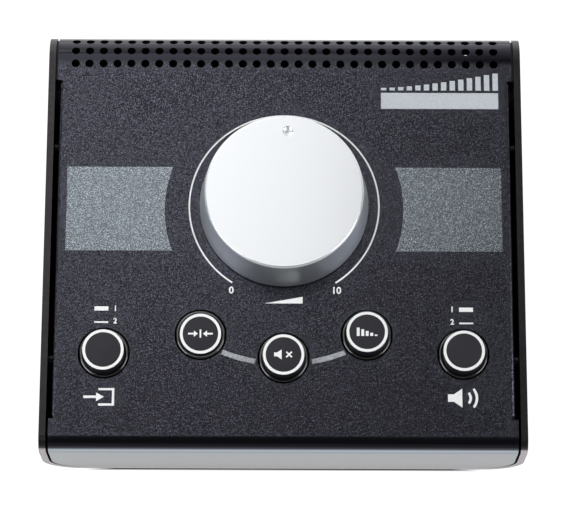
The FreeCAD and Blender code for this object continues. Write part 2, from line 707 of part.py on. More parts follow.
def button(name, across, up):
    drop = "latch_drop" if name == LATCHED else "0"
    low = "cap_out - cap_long"
    cavity = "cap_round - cap_skin"
    boss_low = f"{low} + boss_short"
    cap = turned(name + "_cap_body", [
        ("0", "cap_out"), ("cap_round", "cap_out"), ("cap_round", low), (cavity, low),
        (cavity, "cap_out - cap_skin"), ("boss_round", "cap_out - cap_skin"),
        ("boss_round", boss_low), ("plunger_round + press_gap", boss_low),
        ("plunger_round + press_gap", "cap_out - 2 * cap_skin"), ("0", "cap_out - 2 * cap_skin")])
    rounded(cap, "cap_edge", round_edges(cap, value("cap_round")))
    finished(on_panel(cap, across, up, f"-({drop})"), name + "_cap")
    plunger = rod(name + "_plunger", "plunger_round", "plunger_long")
    finished(on_panel(plunger, across, up, f"cap_out - 2 * cap_skin - plunger_long - ({drop})"),
             name + "_plunger")
    switch = cut(name + "_switch",
                 block(name + "_case", "switch_side", "switch_side", "switch_high"),
                 rod(name + "_guide", "plunger_round + plunger_gap", "switch_high", "guide_floor"))
    finished(on_panel(switch, across, up, "-board_down"), name + "_switch")


def button_guides():
    sleeves = []
    for name, across, up in BUTTONS:
        tube = turned(name + "_sleeve", [
            ("sleeve_inside", "-board_down"), ("sleeve_round", "-board_down"),
            ("sleeve_round", "sleeve_out"), ("sleeve_inside", "sleeve_out")])
        rounded(tube, "sleeve_edge", round_edges(tube, value("sleeve_round")))
        sleeves.append(place(group(name + "_sleeve_held", tube), across, up))
    finished(on_panel(group("button_guides", *sleeves)), "button_guides")


# ---------------------------------------------------------------------------------------------
# Control board on studs under the panel, and the jack board behind it
# ---------------------------------------------------------------------------------------------
def stud_spots():
    for side in (-1, 1):
        for up in ("board_from + stud_inset", "board_to - stud_inset"):
            yield f"{side} * stud_across", up


def control_board():
    plate = slab("board_plate", "-board_half", "board_half", "board_from", "board_to",
                 "-board_low", "-board_down")
    holes = [place(rod("board_pot_hole", "gang_round + pot_clear", "3 * board_thick"), 0, "knob_up",
                   "-board_low - board_thick")]
    for across, up in stud_spots():
        hole = rod("board_hole", "small_screw + screw_clear", "3 * board_thick")
        holes.append(place(hole, across, up, "-board_low - board_thick"))
    for column in (-1, 0, 1):
        for rank in range(2):
            out = f"knob_up - (gang_round + pot_clear + pin_side + (2 - {rank}) * pin_step)"
            middle = f"{column} * pin_pitch"
            hole = slab("pin_hole", f"{middle} - pin_side / 2", f"{middle} + pin_side / 2", out,
                        f"{out} + pin_side", "-2 * board_low", "0")
            holes.append(hole)
    board = cut("control_board", plate, *holes)
    finished(on_panel(board), "control_board")
    studs = []
    screws = []
    for across, up in stud_spots():
        post = rod("stud_post", "stud_round", "board_down - skin", "-board_down")
        bore = rod("stud_bore", "small_screw + screw_clear / 2", "small_grip + skin", "-board_down")
        studs.append(place(cut("stud", post, bore), across, up))
        screw = pan_screw("board_screw", "small_screw", "small_head", "small_head_high",
                          "board_thick + small_grip")
        screws.append(place(screw, across, up, "-board_low"))
    finished(on_panel(group("control_board_studs", *studs)), "control_board_studs")
    finished(on_panel(group("control_board_screws", *screws)), "control_board_screws")
    bodies = []
    for side in (-1, 1):
        for column in range(7):
            body = rod("resistor", "resistor_round", "resistor_long")
            turn(body, ACROSS, "-90")
            bodies.append(place(body, f"{side} * (resistor_out + {column} * resistor_pitch)",
                                "resistor_up", "resistor_round - board_down"))
    finished(on_panel(group("attenuator_resistors", *bodies)), "attenuator_resistors")
    plug = block("control_plug", "header_wide", "header_deep", "header_high")
    finished(on_panel(group("control_plug_held", plug), "ribbon_across", "board_to - header_inset",
                      "-board_low - header_high"), "control_header")


def jack_board():
    plate = slab("jack_plate", "-jack_board_half", "jack_board_half", "jack_board_y",
                 "rear_y - skin - jack_board_back", "jack_board_z - board_thick", "jack_board_z")
    holes = []
    posts = []
    screws = []
    for side in (-1, 1):
        spot = (f"{side} * post_across", "jack_board_y + stud_inset")
        hole = rod("jack_board_hole", "small_screw + screw_clear", "3 * board_thick")
        holes.append(place(hole, *spot, "jack_board_z - 2 * board_thick"))
        long = "jack_board_z - board_thick - floor_z"
        post = cut("jack_post", rod("post_rod", "stud_round", long, "floor_z"),
                   rod("post_bore", "small_screw + screw_clear / 2", "small_grip + skin",
                       "jack_board_z - board_thick - small_grip - skin"))
        foot = rod("post_foot", "small_screw", "wall", "foot_proud")
        posts.append(place(fuse("jack_board_post", post, foot), *spot))
        screw = pan_screw("jack_screw", "small_screw", "small_head", "small_head_high",
                          "board_thick + small_grip")
        turn(screw, ACROSS, "180")
        screws.append(place(screw, *spot, "jack_board_z"))
    finished(cut("jack_board", plate, *holes), "jack_board")
    finished(group("jack_board_posts", *posts), "jack_board_posts")
    finished(group("jack_board_screws", *screws), "jack_board_screws")
    plug = block("jack_plug", "header_wide", "header_deep", "header_high")
    finished(place(plug, "ribbon_across - header_wide / 2",
                   "jack_board_y + header_inset - header_deep / 2", "jack_board_z"), "jack_header")


JACKS = [
    ("monitor_b_left_jack", "-(jack_first + 3 * jack_pitch)"),
    ("monitor_b_right_jack", "-(jack_first + 2 * jack_pitch)"),
    ("monitor_a_left_jack", "-(jack_first + jack_pitch)"),
    ("monitor_a_right_jack", "-jack_first"),
    ("source_b_left_jack", "jack_first"),
    ("source_b_right_jack", "jack_first + jack_pitch"),
    ("source_a_left_jack", "jack_first + 2 * jack_pitch"),
    ("source_a_right_jack", "jack_first + 3 * jack_pitch"),
]


def jacks():
    nuts = []
    washers = []
    for name, across in JACKS:
        case = block(name + "_case", "jack_side", "jack_tall", "jack_body", start="-skin - jack_body")
        bush = rod(name + "_bush", "jack_thread", "jack_reach + 2 * skin", "-2 * skin")
        bore = rod(name + "_bore", "jack_bore", "jack_bore_long", "jack_reach - jack_bore_long")
        jack = cut(name, fuse(name + "_solid", case, bush), bore)
        finished(to_rear(jack, across, "jack_high"), name)
        washer = cut("jack_washer_one", rod("jack_disc", "jack_washer", "washer_thick"),
                     rod("jack_disc_bore", "jack_thread + thread_gap", "washer_thick"))
        washers.append(to_rear(washer, across, "jack_high"))
        nut = cut("jack_nut_one", hexagon("jack_hex", "jack_nut_flats", "jack_nut_high", "washer_thick"),
                  rod("jack_nut_bore", "jack_thread + thread_gap", "jack_nut_high", "washer_thick"))
        nuts.append(to_rear(nut, across, "jack_high"))
    finished(group("jack_washers", *washers), "jack_washers")
    finished(group("jack_nuts", *nuts), "jack_nuts")
    case = block("mini_case", "mini_side", "mini_tall", "mini_body", start="-skin - mini_body")
    bush = rod("mini_bush", "mini_thread", "mini_reach + 2 * skin", "-2 * skin")
    bore = rod("mini_jack_bore", "mini_bore", "mini_bore_long", "mini_reach - mini_bore_long")
    small = cut("small_jack", fuse("mini_solid", case, bush), bore)
    finished(to_rear(small, "0", "mini_high"), "small_jack")
    nut = cut("small_jack_nut", rod("mini_nut_rod", "mini_nut", "jack_nut_high"),
              rod("mini_nut_bore", "mini_thread + thread_gap", "jack_nut_high"))
    finished(to_rear(nut, "0", "mini_high"), "small_jack_nut")


def ribbon_cable():
    """Flat cable from the control board's header to the jack board's: out of the back of one,
    down behind it, and into the front of the other, as flat runs joined by round bends."""
    level = value("level")
    lift = value("lift")
    plug_up = value("board_to - header_inset + header_deep / 2")
    plug_out = value("-board_low - header_high / 2")
    across = value("ribbon_across")
    start = FreeCAD.Vector(across, value("front_y") + plug_up * level - plug_out * lift,
                           value("front_z") + plug_up * lift + plug_out * level)
    slope_way = FreeCAD.Vector(0, level, lift)
    end = FreeCAD.Vector(across, value("jack_board_y + header_inset - header_deep / 2"),
                         value("jack_board_z + header_high / 2"))
    bend = value("ribbon_bend")
    over = start + slope_way * (2 * bend)
    ahead = end - FreeCAD.Vector(0, 2.5 * bend, 0)
    corners = [start, over, ahead, end]
    edges = []
    here = start
    for before, corner, after in zip(corners, corners[1:], corners[2:]):
        to_corner = (corner - before).normalize()
        from_corner = (after - corner).normalize()
        half_turn = to_corner.getAngle(from_corner) / 2
        trim = bend * math.tan(half_turn)
        arc_start = corner - to_corner * trim
        arc_end = corner + from_corner * trim
        inward = (from_corner - to_corner).normalize()
        centre = corner + inward * (bend / math.cos(half_turn))
        middle = centre - inward * bend
        edges.append(Part.LineSegment(here, arc_start).toShape())
        edges.append(Part.Arc(arc_start, middle, arc_end).toShape())
        here = arc_end
    edges.append(Part.LineSegment(here, end).toShape())
    half = value("ribbon_wide") / 2
    normal = FreeCAD.Vector(0, -lift, level) * (value("ribbon_thick") / 2)
    side = FreeCAD.Vector(half, 0, 0)
    section = Part.makePolygon([start - side - normal, start + side - normal, start + side + normal,
                                start - side + normal, start - side - normal])
    ribbon = doc.addObject("Part::Feature", "ribbon_cable")
    swept = Part.Wire(edges).makePipe(Part.Face(section))
    ribbon.Shape = swept if swept.Volume > 0 else swept.reversed()
    return finished(ribbon, "ribbon_cable")


# ---------------------------------------------------------------------------------------------
# Build, check and write
# ---------------------------------------------------------------------------------------------
top_cover()
bottom_shell()
feet()
housing_screws()
volume_knob()
potentiometer()
for button_name, button_across, button_up in BUTTONS:
    button(button_name, button_across, button_up)
button_guides()
control_board()
jack_board()
jacks()
ribbon_cable()
doc.recompute()

for item in doc.Objects:
    if {"Invalid", "Error"} & set(item.State):
        raise RuntimeError(f"{item.Name} failed: {item.State}")
for node in nodes:
    if node.Shape.isNull() or not node.Shape.isValid() or not node.Shape.Solids:
        raise RuntimeError(f"{node.Label} has no valid solid")
os.makedirs("parts", exist_ok=True)
for node in nodes:
    node.Shape.exportStep(f"parts/{node.Label}.step")
    box = node.Shape.BoundBox
    print(f"{node.Label}: {len(node.Shape.Solids)} solids, {node.Shape.Volume:.0f} mm3, "
          f"x {box.XMin:.2f} {box.XMax:.2f}, y {box.YMin:.2f} {box.YMax:.2f}, "
          f"z {box.ZMin:.2f} {box.ZMax:.2f}")
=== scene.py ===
# %% [markdown]
# # Dressing a desktop monitor controller
#
# The object is a sloped box of folded steel with one big volume knob, five push buttons and a
# row of jacks behind. The packed model already holds every piece at its real size and place.
# This script leaves them where they are: it gives them their finish, turns the few pieces that
# need a smoother surface, prints the panel, and sets the light and the camera.

# %% Load the packed model
import json
import math

import bmesh
import bpy
import numpy as np
from mathutils import Matrix, Vector


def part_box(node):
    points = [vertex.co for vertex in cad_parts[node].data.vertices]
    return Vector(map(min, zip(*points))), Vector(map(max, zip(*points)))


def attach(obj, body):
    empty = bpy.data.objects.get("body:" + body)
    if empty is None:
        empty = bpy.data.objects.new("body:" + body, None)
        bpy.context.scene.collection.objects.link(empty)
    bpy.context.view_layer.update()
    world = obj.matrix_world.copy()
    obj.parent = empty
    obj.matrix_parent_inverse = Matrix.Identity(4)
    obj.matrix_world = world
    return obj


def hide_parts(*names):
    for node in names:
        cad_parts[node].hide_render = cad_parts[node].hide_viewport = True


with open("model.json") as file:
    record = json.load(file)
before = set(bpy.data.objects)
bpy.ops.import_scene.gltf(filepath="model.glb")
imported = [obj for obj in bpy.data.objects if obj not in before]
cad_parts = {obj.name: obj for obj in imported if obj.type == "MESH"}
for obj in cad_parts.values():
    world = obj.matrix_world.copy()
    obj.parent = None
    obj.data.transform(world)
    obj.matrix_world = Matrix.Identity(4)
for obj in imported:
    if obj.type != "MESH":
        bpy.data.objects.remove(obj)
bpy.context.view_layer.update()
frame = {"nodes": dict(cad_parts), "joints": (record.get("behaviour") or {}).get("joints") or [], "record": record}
nodes = frame["nodes"]

# %% [markdown]
# ## A frame for the sloped panel
#
# Nearly everything that shows stands on the sloped panel. Its knob turns about an axis that is
# square to the panel, so that axis gives both the panel's tilt and a centre to measure from.
# All sizes on the panel are then millimetres across, up the slope and out of it.

# %% Panel directions
MM = 0.001
dial = next(joint for joint in frame["joints"] if joint["name"] == "volume_turn")
DIAL = np.array(dial["pos_m"])
OUT = np.array(dial["axis"])
ACROSS = np.array([1.0, 0.0, 0.0])
UP = np.cross(OUT, ACROSS)


def on_panel(across, up, out):
    """The dial's foot plus across, up the slope and out of the panel, each times its direction."""
    across, up, out = np.broadcast_arrays(across, up, out)
    steps = across[..., None] * ACROSS + up[..., None] * UP + out[..., None] * OUT
    return DIAL + MM * steps


def on_back(across, high, out):
    """A place by the upright back face: across as seen from the front, above the desk, and out."""
    across, high, out = np.broadcast_arrays(across, high, out)
    return MM * np.stack([across, BACK_Y + out, high], axis=-1)


def panel_spot(node):
    """Where the middle of a node's box lies: across, up the slope and out, in millimetres."""
    low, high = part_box(node)
    middle = (np.array(low) + np.array(high)) / 2 - DIAL
    return middle @ ACROSS / MM, middle @ UP / MM, middle @ OUT / MM


BACK_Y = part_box("jack_washers")[0].y / MM
print("panel tilt in degrees", round(math.degrees(math.acos(OUT[2])), 2))
print("back face at", round(BACK_Y, 2))

# %% [markdown]
# ## The camera
#
# A product portrait is taken from well back with a long lens, so that the two sides stay nearly
# parallel. The camera looks down at the panel from 64 degrees above the desk and is turned a
# hair anticlockwise. It is made first, because it decides how much each detail will show.

# %% Camera
AIM = on_panel(-0.15, -18.06, 0.0)
CAMERA_AWAY = 0.946
CAMERA_ABOVE = math.radians(64)
CAMERA_TWIST = math.radians(0.21)
LENS = 170.8

back = np.array([0.0, -math.cos(CAMERA_ABOVE), math.sin(CAMERA_ABOVE)])
up = np.cross(back, ACROSS)
camera_data = bpy.data.cameras.new("portrait")
camera_data.lens = LENS
camera_data.sensor_width = 36.0
camera_data.sensor_fit = "HORIZONTAL"
camera = bpy.data.objects.new("portrait", camera_data)
bpy.context.scene.collection.objects.link(camera)
axes = Matrix((ACROSS, up, back)).transposed().to_4x4()
twist = Matrix.Rotation(CAMERA_TWIST, 4, "Z")
camera.matrix_world = Matrix.Translation(AIM + CAMERA_AWAY * back) @ axes @ twist
bpy.context.scene.camera = camera
print("camera at", [round(v, 3) for v in camera.matrix_world.translation])

# %% [markdown]
# ## Small tools for materials
#
# Every finish below is a Principled shader with a few texture nodes in front of it. A small class
# keeps the recipes readable: it makes the shader with its plain numbers, adds noise in the
# piece's own coordinates, stretches and blends values, and turns a grey value into bumps.

# %% Material helpers
GRAIN = 1 / MM  # noise scales are written per millimetre


def tint(red, green, blue):
    """A plain colour for a shader socket."""
    return (red, green, blue, 1.0)


def feed(tree, socket, value):
    """Link another node's result to a socket, or set a plain value on it."""
    if isinstance(value, bpy.types.NodeSocket):
        tree.links.new(value, socket)
    else:
        socket.default_value = value


class Finish:
    """A material under construction: its node tree, its shader and its place coordinates."""

    def __init__(self, name, **sockets):
        self.material = bpy.data.materials.new(name)
        self.material.use_nodes = True
        self.tree = self.material.node_tree
        self.shader = self.tree.nodes["Principled BSDF"]
        for socket, value in sockets.items():
            self.shader.inputs[socket.replace("_", " ")].default_value = value
        self.place = self.add("ShaderNodeTexCoord").outputs["Object"]

    def add(self, kind, **settings):
        """A node of that kind; capital names are its sockets, others its own settings."""
        node = self.tree.nodes.new(kind)
        for name, value in settings.items():
            if name[0].isupper():
                feed(self.tree, node.inputs[name.replace("_", " ")], value)
            else:
                setattr(node, name, value)
        return node

    def noise(self, per_mm, detail=2.0, rough=0.5, place=None):
        """Soft random grey, with that many lumps to the millimetre."""
        node = self.add("ShaderNodeTexNoise", Vector=place or self.place, Scale=per_mm * GRAIN,
                        Detail=detail, Roughness=rough)
        return node.outputs["Fac"]

    def spread(self, value, low, high, to_low=0.0, to_high=1.0):
        """The value stretched from one range to another, and kept inside it."""
        node = self.add("ShaderNodeMapRange", Value=value, From_Min=low, From_Max=high,
                        To_Min=to_low, To_Max=to_high)
        return node.outputs["Result"]

    def math(self, operation, first, second=0.5):
        """Two values joined by that operation."""
        node = self.add("ShaderNodeMath", operation=operation)
        for socket, value in zip(node.inputs, (first, second)):
            feed(self.tree, socket, value)
        return node.outputs["Value"]

    def blend(self, share, first, second):
        """One colour fading into another by a share from 0 to 1."""
        node = self.add("ShaderNodeMix", data_type="RGBA")
        sockets = {socket.identifier: socket for socket in node.inputs}
        feed(self.tree, sockets["Factor_Float"], share)
        feed(self.tree, sockets["A_Color"], tint(*first))
        feed(self.tree, sockets["B_Color"], tint(*second))
        return next(socket for socket in node.outputs if socket.identifier == "Result_Color")

    def mix(self, share, first, second):
        """One value fading into another by a share from 0 to 1."""
        return self.add("ShaderNodeMix", Factor=share, A=first, B=second).outputs["Result"]

    def relief(self, height, depth_mm, strength=1.0, onto=None):
        """Bumps of that depth, on top of earlier ones if those are given."""
        node = self.add("ShaderNodeBump", Height=height, Distance=depth_mm * MM, Strength=strength)
        if onto is not None:
            self.tree.links.new(onto, node.inputs["Normal"])
        return node.outputs["Normal"]

    def into(self, **sockets):
        """Feed results into the shader, and give back the finished material."""
        for name, value in sockets.items():
            self.tree.links.new(value, self.shader.inputs[name.replace("_", " ")])
        return self.material


print("Finish can", [name for name in vars(Finish) if not name.startswith("_")])

# %% [markdown]
# ## Black powder coat
#
# The steel is sprayed with dry powder and baked. The powder never flows out fully flat, so it
# leaves a sandy skin that glitters. Two things make the glitter: bumps tilt each grain to another
# part of the room, and each grain has its own gloss. The colour itself is close to black, and
# nearly all the grey is reflection. The sheet is smoother where it bends to the front and to the
# back. On the upright front face the coat has flowed out glossy, so that face mirrors the desk.
# The thick bottom shell is coated too, but it came out smoother and more neutral.

# %% Sand and powder coat
FACE_AT = -88.06  # the front face stands square to the panel, this far down the slope
REAR_BEND = 54.6  # and the bend to the back face starts a little above this
GLINT_RARE = 2.5  # the higher, the fewer grains are bright


def along(finish, direction):
    """How far a point lies from the dial's foot in that direction, in millimetres."""
    reach = finish.add("ShaderNodeVectorMath", operation="DOT_PRODUCT")
    finish.tree.links.new(finish.place, reach.inputs[0])
    reach.inputs[1].default_value = direction / MM
    return finish.math("SUBTRACT", reach.outputs["Value"], float(DIAL @ direction) / MM)


def sandy(finish, strength=1.0):
    """The coat's sand as bumps: coarse lumps under fine grains."""
    lumps = finish.relief(finish.noise(1.0, 1.0), 0.035, strength)
    return finish.relief(finish.noise(3.2, 2.0, 0.6), 0.07, strength, onto=lumps)


def glints(finish, dull, bright, grains_per_mm=4.3):
    """The coat's sand as gloss: each grain has its own level, and few of them are bright."""
    cells = finish.add("ShaderNodeTexVoronoi", Vector=finish.place, Scale=grains_per_mm * GRAIN)
    chance = finish.add("ShaderNodeSeparateColor", Color=cells.outputs["Color"]).outputs["Red"]
    return finish.spread(finish.math("POWER", chance, GLINT_RARE), 0.0, 1.0, dull, bright)


def front_mask(finish):
    """1 on the front face and the shell's edge round it, and 0 behind them."""
    return finish.spread(along(finish, UP), FACE_AT + 1.0, FACE_AT + 0.5)


def sand_mask(finish):
    """1 on the panel and 0 on both bends: the lesser of a fade at the front and one behind."""
    height = along(finish, UP)
    return finish.math("MINIMUM", finish.spread(height, FACE_AT + 3.8, FACE_AT + 5.2),
                       finish.spread(height, REAR_BEND, REAR_BEND - 2.2))


def powder_coat():
    """Sandy on the panel, smooth on both bends, and glossy from the bend down the front face."""
    finish = Finish("black powder coat", Base_Color=tint(0.003, 0.003, 0.004))
    sand, glossy, down = sand_mask(finish), front_mask(finish), along(finish, OUT)
    grains = finish.mix(sand, 0.19, glints(finish, 0.14, 1.08))
    mirror = finish.mix(glossy, grains, finish.spread(down, -9.0, -30.0, 0.5, 0.08))
    return finish.into(Normal=sandy(finish, sand), Specular_IOR_Level=mirror,
                       Specular_Tint=finish.blend(glossy, (0.79, 0.80, 1.0), (0.84, 0.92, 1.0)),
                       Roughness=finish.spread(sand, 0.0, 1.0, 0.14, 0.22),
                       IOR=finish.mix(glossy, 1.98, finish.spread(down, -2.5, -5.5, 5.0, 2.9)))


def shell_coat():
    """The same powder, finer and nearly level, and glossy where it borders the front face."""
    finish = Finish("fine black powder coat", Base_Color=tint(0.004, 0.0035, 0.004), Roughness=0.3,
                    Specular_Tint=tint(0.98, 0.93, 0.97))
    drift = finish.spread(finish.noise(0.5, 1.0), 0.3, 0.7, 0.40, 0.50)
    return finish.into(Normal=sandy(finish, 0.15), Specular_IOR_Level=drift,
                       IOR=finish.mix(front_mask(finish), 1.58, 5.0))


coat, smooth_coat = powder_coat(), shell_coat()
print("made", coat.name, "and", smooth_coat.name)

# %% [markdown]
# ## Printing inks
#
# The legends are screen printed: a thin opaque film with crisp edges. White is the glossiest
# ink and serves the legends; a light grey and a darker one are matt. The ink of the two broad
# fields beside the knob holds metal flakes, so it is silver and mirrors the light above. The film
# is so thin that the sand of the coat under it still stirs its tone and its surface.

# %% Inks
def ink(name, colour, sand, **shader):
    """Opaque ink over the coat; sand is how far the grains under it stir its tone."""
    finish = Finish(name, **shader)
    dark = tuple((1 - sand) * part for part in colour)
    light = tuple(min(0.97, (1 + sand) * part) for part in colour)
    tone = finish.blend(glints(finish, 0.0, 1.0), dark, light)
    return finish.into(Base_Color=tone, Normal=sandy(finish, min(1.0, 4 * sand)))


white_ink = ink("white ink", (0.95, 0.96, 0.97), 0.01, Roughness=0.25, IOR=2.3)
silver_ink = ink("silver ink", (0.375, 0.42, 0.465), 0.52, Roughness=0.2, Metallic=1.0)
pale_ink = ink("pale grey ink", (0.42, 0.44, 0.47), 0.4, Roughness=0.5)
light_ink = ink("light grey ink", (0.57, 0.61, 0.65), 0.10, Roughness=0.5)
print("made", white_ink.name, silver_ink.name, pale_ink.name, light_ink.name)

# %% [markdown]
# ## Satin aluminium
#
# The knob is turned from bar, blasted with fine beads and anodised clear. Blasting leaves a dense field of tiny
# dents that spreads every reflection evenly, which is why the top shows no turning rings. A metal's colour is its
# reflection, so the shader is all metal, and the dents only stir it a little. The side is blasted more coarsely
# than the top, so it is rougher; its metal colour is also painted darker than the top's, as painted shade for the
# side, which turns away from the light above.

# %% Metals
KNOB_HIGH = 17.5  # the knob's flat top stands this far out of the panel


def metal(name, colour, roughness, dents_per_mm, dent_depth, stir=0.03):
    """Bare or plated metal whose roughness and surface are stirred by fine dents."""
    finish = Finish(name, Metallic=1.0, Base_Color=tint(*colour))
    dents = finish.noise(dents_per_mm, 2.0)
    return finish.into(Roughness=finish.spread(dents, 0.2, 0.8, roughness - stir, roughness + stir),
                       Normal=finish.relief(dents, dent_depth))


def satin_knob():
    """Fine bright satin on the flat top, and a coarser one below it whose colour is painted darker, as painted
    shade.
    """
    finish = Finish("satin aluminium", Metallic=1.0)
    on_top = finish.spread(along(finish, OUT), KNOB_HIGH - 0.07, KNOB_HIGH - 0.01)
    # The darker side colour is painted shade; only the higher roughness below the top is the real finish.
    return finish.into(Base_Color=finish.blend(on_top, (0.70, 0.74, 0.77), (0.915, 0.935, 0.965)),
                       Roughness=finish.spread(on_top, 0.0, 1.0, 0.43, 0.20),
                       Normal=finish.relief(finish.noise(6.0, 2.0), 0.002))


satin_aluminium = satin_knob()
nickel = metal("nickel plate", (0.72, 0.70, 0.66), 0.20, 1.2, 0.004)
bright_steel = metal("zinc plated steel", (0.60, 0.61, 0.62), 0.34, 2.0, 0.01)
black_steel = metal("black oxide steel", (0.055, 0.055, 0.06), 0.38, 3.0, 0.01)
tinned_brass = metal("tinned brass", (0.66, 0.64, 0.58), 0.30, 2.0, 0.006)
print("made five metals")

# %% [markdown]
# ## Plastics, rubber and the boards
#
# Moulded parts copy the spark-eroded skin of their mould: a fine, even, shallow grain. The caps
# are finer than the jacks, and the rubber feet are the dullest of all. The circuit boards carry
# a green lacquer with faint copper tracks under it, and the resistors have coloured rings.

# %% Moulded finishes
def moulded(name, colour, roughness, per_mm=3.0, depth=0.008, **shader):
    """Plastic or rubber with the grain of its mould in its tone and its surface."""
    finish = Finish(name, Roughness=roughness, **shader)
    skin = finish.noise(per_mm, 2.0)
    darker = tuple(0.8 * part for part in colour)
    return finish.into(Base_Color=finish.blend(finish.spread(skin, 0.3, 0.7), darker, colour),
                       Normal=finish.relief(skin, depth))


cap_plastic = moulded("button plastic", (0.012, 0.0115, 0.018), 0.42, 4.0, 0.006)
sleeve_plastic = moulded("glossy black plastic", (0.004, 0.004, 0.005), 0.12, 2.0, 0.001, IOR=2.0)
hub_plastic = moulded("nylon", (0.06, 0.06, 0.06), 0.5)
white_plastic = moulded("white plastic", (0.78, 0.78, 0.75), 0.4)
jack_plastic = moulded("jack plastic", (0.028, 0.028, 0.030), 0.36, 2.0, 0.006)
foot_rubber = moulded("foot rubber", (0.024, 0.024, 0.025), 0.75, 2.5, 0.02)


def laminate():
    """Green lacquer over copper tracks, drawn by the joints of a brick pattern."""
    finish = Finish("green board lacquer", Roughness=0.3)
    tracks = finish.add("ShaderNodeTexBrick", Vector=finish.place, Scale=0.25 * GRAIN,
                        Mortar_Size=0.06)
    tone = finish.blend(tracks.outputs["Fac"], (0.012, 0.10, 0.045), (0.02, 0.17, 0.07))
    return finish.into(Base_Color=tone, Normal=finish.relief(tracks.outputs["Fac"], 0.03))


BODY_BLUE, RING_SHARE = (0.15, 0.38, 0.55), 0.08
RINGS = {0.16: (0.30, 0.02, 0.01), 0.36: (0.01, 0.01, 0.01), 0.56: (0.85, 0.50, 0.04),
         0.80: (0.14, 0.05, 0.02)}  # where each ring starts, as a share of the length


def ringed(first_mm, long_mm):
    """Colour rings along the slope, for parts that start that far up it from the dial."""
    finish = Finish("banded lacquer", Roughness=0.32)
    share = finish.spread(along(finish, UP), first_mm, first_mm + long_mm)
    ramp = finish.add("ShaderNodeValToRGB", Fac=share)
    ramp.color_ramp.interpolation = "CONSTANT"
    stops = ramp.color_ramp.elements
    for stop in stops:
        stop.color = tint(*BODY_BLUE)
    for spot, colour in RINGS.items():
        stops.new(spot).color = tint(*colour)
        stops.new(spot + RING_SHARE).color = tint(*BODY_BLUE)
    bumps = finish.relief(finish.noise(1.0), 0.01)
    return finish.into(Base_Color=ramp.outputs["Color"], Normal=bumps)


WIRE = 1.27  # millimetres from one wire of the flat cable to the next


def flat_cable():
    """Ribbed grey cable: the ribs are a sine across it, one to each wire, and the first is red."""
    finish = Finish("flat cable vinyl", Roughness=0.45)
    across = finish.add("ShaderNodeSeparateXYZ", Vector=finish.place).outputs["X"]
    turns = finish.math("MULTIPLY", across, 2 * math.pi / (WIRE * MM))
    ribs = finish.math("SINE", turns)
    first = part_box("ribbon_cable")[0].x + 1.3 * MM
    red = finish.math("LESS_THAN", across, first)
    return finish.into(Base_Color=finish.blend(red, (0.40, 0.40, 0.41), (0.55, 0.03, 0.02)),
                       Normal=finish.relief(finish.spread(ribs, -1.0, 1.0), 0.2))


print("made plastics, rubber, lacquers and cable")

# %% [markdown]
# ## Give each packed piece its finish
#
# The record says which finish every piece takes. One table from that name to a material, and one
# loop over the pieces, dresses the whole model, inside and out.

# %% Dress the packed pieces
RESISTOR_LONG = 6.3
resistor_start = panel_spot("attenuator_resistors")[1] - RESISTOR_LONG / 2
finishes = {
    "black_powder_coat": coat, "satin_aluminium": satin_aluminium, "hub_plastic": hub_plastic,
    "cap_plastic": cap_plastic, "white_plastic": white_plastic, "black_plastic": sleeve_plastic,
    "jack_plastic": jack_plastic, "nickel": nickel, "bright_steel": bright_steel,
    "black_steel": black_steel, "tinned_brass": tinned_brass, "board_laminate": laminate(),
    "resistor_lacquer": ringed(resistor_start, RESISTOR_LONG), "grey_cable": flat_cable(),
    "foot_rubber": foot_rubber,
}
slots = {part["node"]: part["material_slot"] for part in frame["record"]["subparts"]}
for name, thing in nodes.items():
    thing.data.materials.clear()
    thing.data.materials.append(smooth_coat if name == "bottom_shell" else finishes[slots[name]])
print("dressed", len(slots), "pieces in", len(set(slots.values())), "finishes")

# %% [markdown]
# ## Helpers that make surfaces
#
# New pieces are grids of points worked out with arrays. One helper joins a grid with faces, and
# another puts several grids of one size together. A third closes the seams and poles and turns
# the faces outwards. The last ones round the corners of a profile and carry it round an axis, as
# a lathe does.

# %% Surface helpers
WELD = 1e-7
CREASE = math.radians(38)


def grid_faces(rows, columns, start=0):
    """Four-sided faces between neighbouring rows and columns, numbered from start."""
    corner = start + np.arange(rows * columns).reshape(rows, columns)
    sides = [corner[:-1, :-1], corner[:-1, 1:], corner[1:, 1:], corner[1:, :-1]]
    return np.stack(sides, axis=-1).reshape(-1, 4).tolist()


def joined(grids):
    """The points and faces of several grids of one size, for a single piece."""
    rows, columns = grids[0].shape[:2]
    starts = range(0, len(grids) * rows * columns, rows * columns)
    faces = [face for start in starts for face in grid_faces(rows, columns, start)]
    return np.concatenate([grid.reshape(-1, 3) for grid in grids]), faces


def make_piece(name, points, faces, finish, body, slot, soft=True):
    """A welded, outward-facing piece riding on a body, smooth between its creases or left flat."""
    mesh = bpy.data.meshes.new(name)
    mesh.from_pydata(np.reshape(points, (-1, 3)).tolist(), [], faces)
    shape = bmesh.new()
    shape.from_mesh(mesh)
    bmesh.ops.remove_doubles(shape, verts=shape.verts, dist=WELD)
    bmesh.ops.recalc_face_normals(shape, faces=shape.faces)
    shape.to_mesh(mesh)
    shape.free()
    if soft:
        mesh.shade_smooth()
        mesh.set_sharp_from_angle(angle=CREASE)
    mesh.materials.append(finish)
    thing = bpy.data.objects.new(name, mesh)
    bpy.context.scene.collection.objects.link(thing)
    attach(thing, body)
    return thing


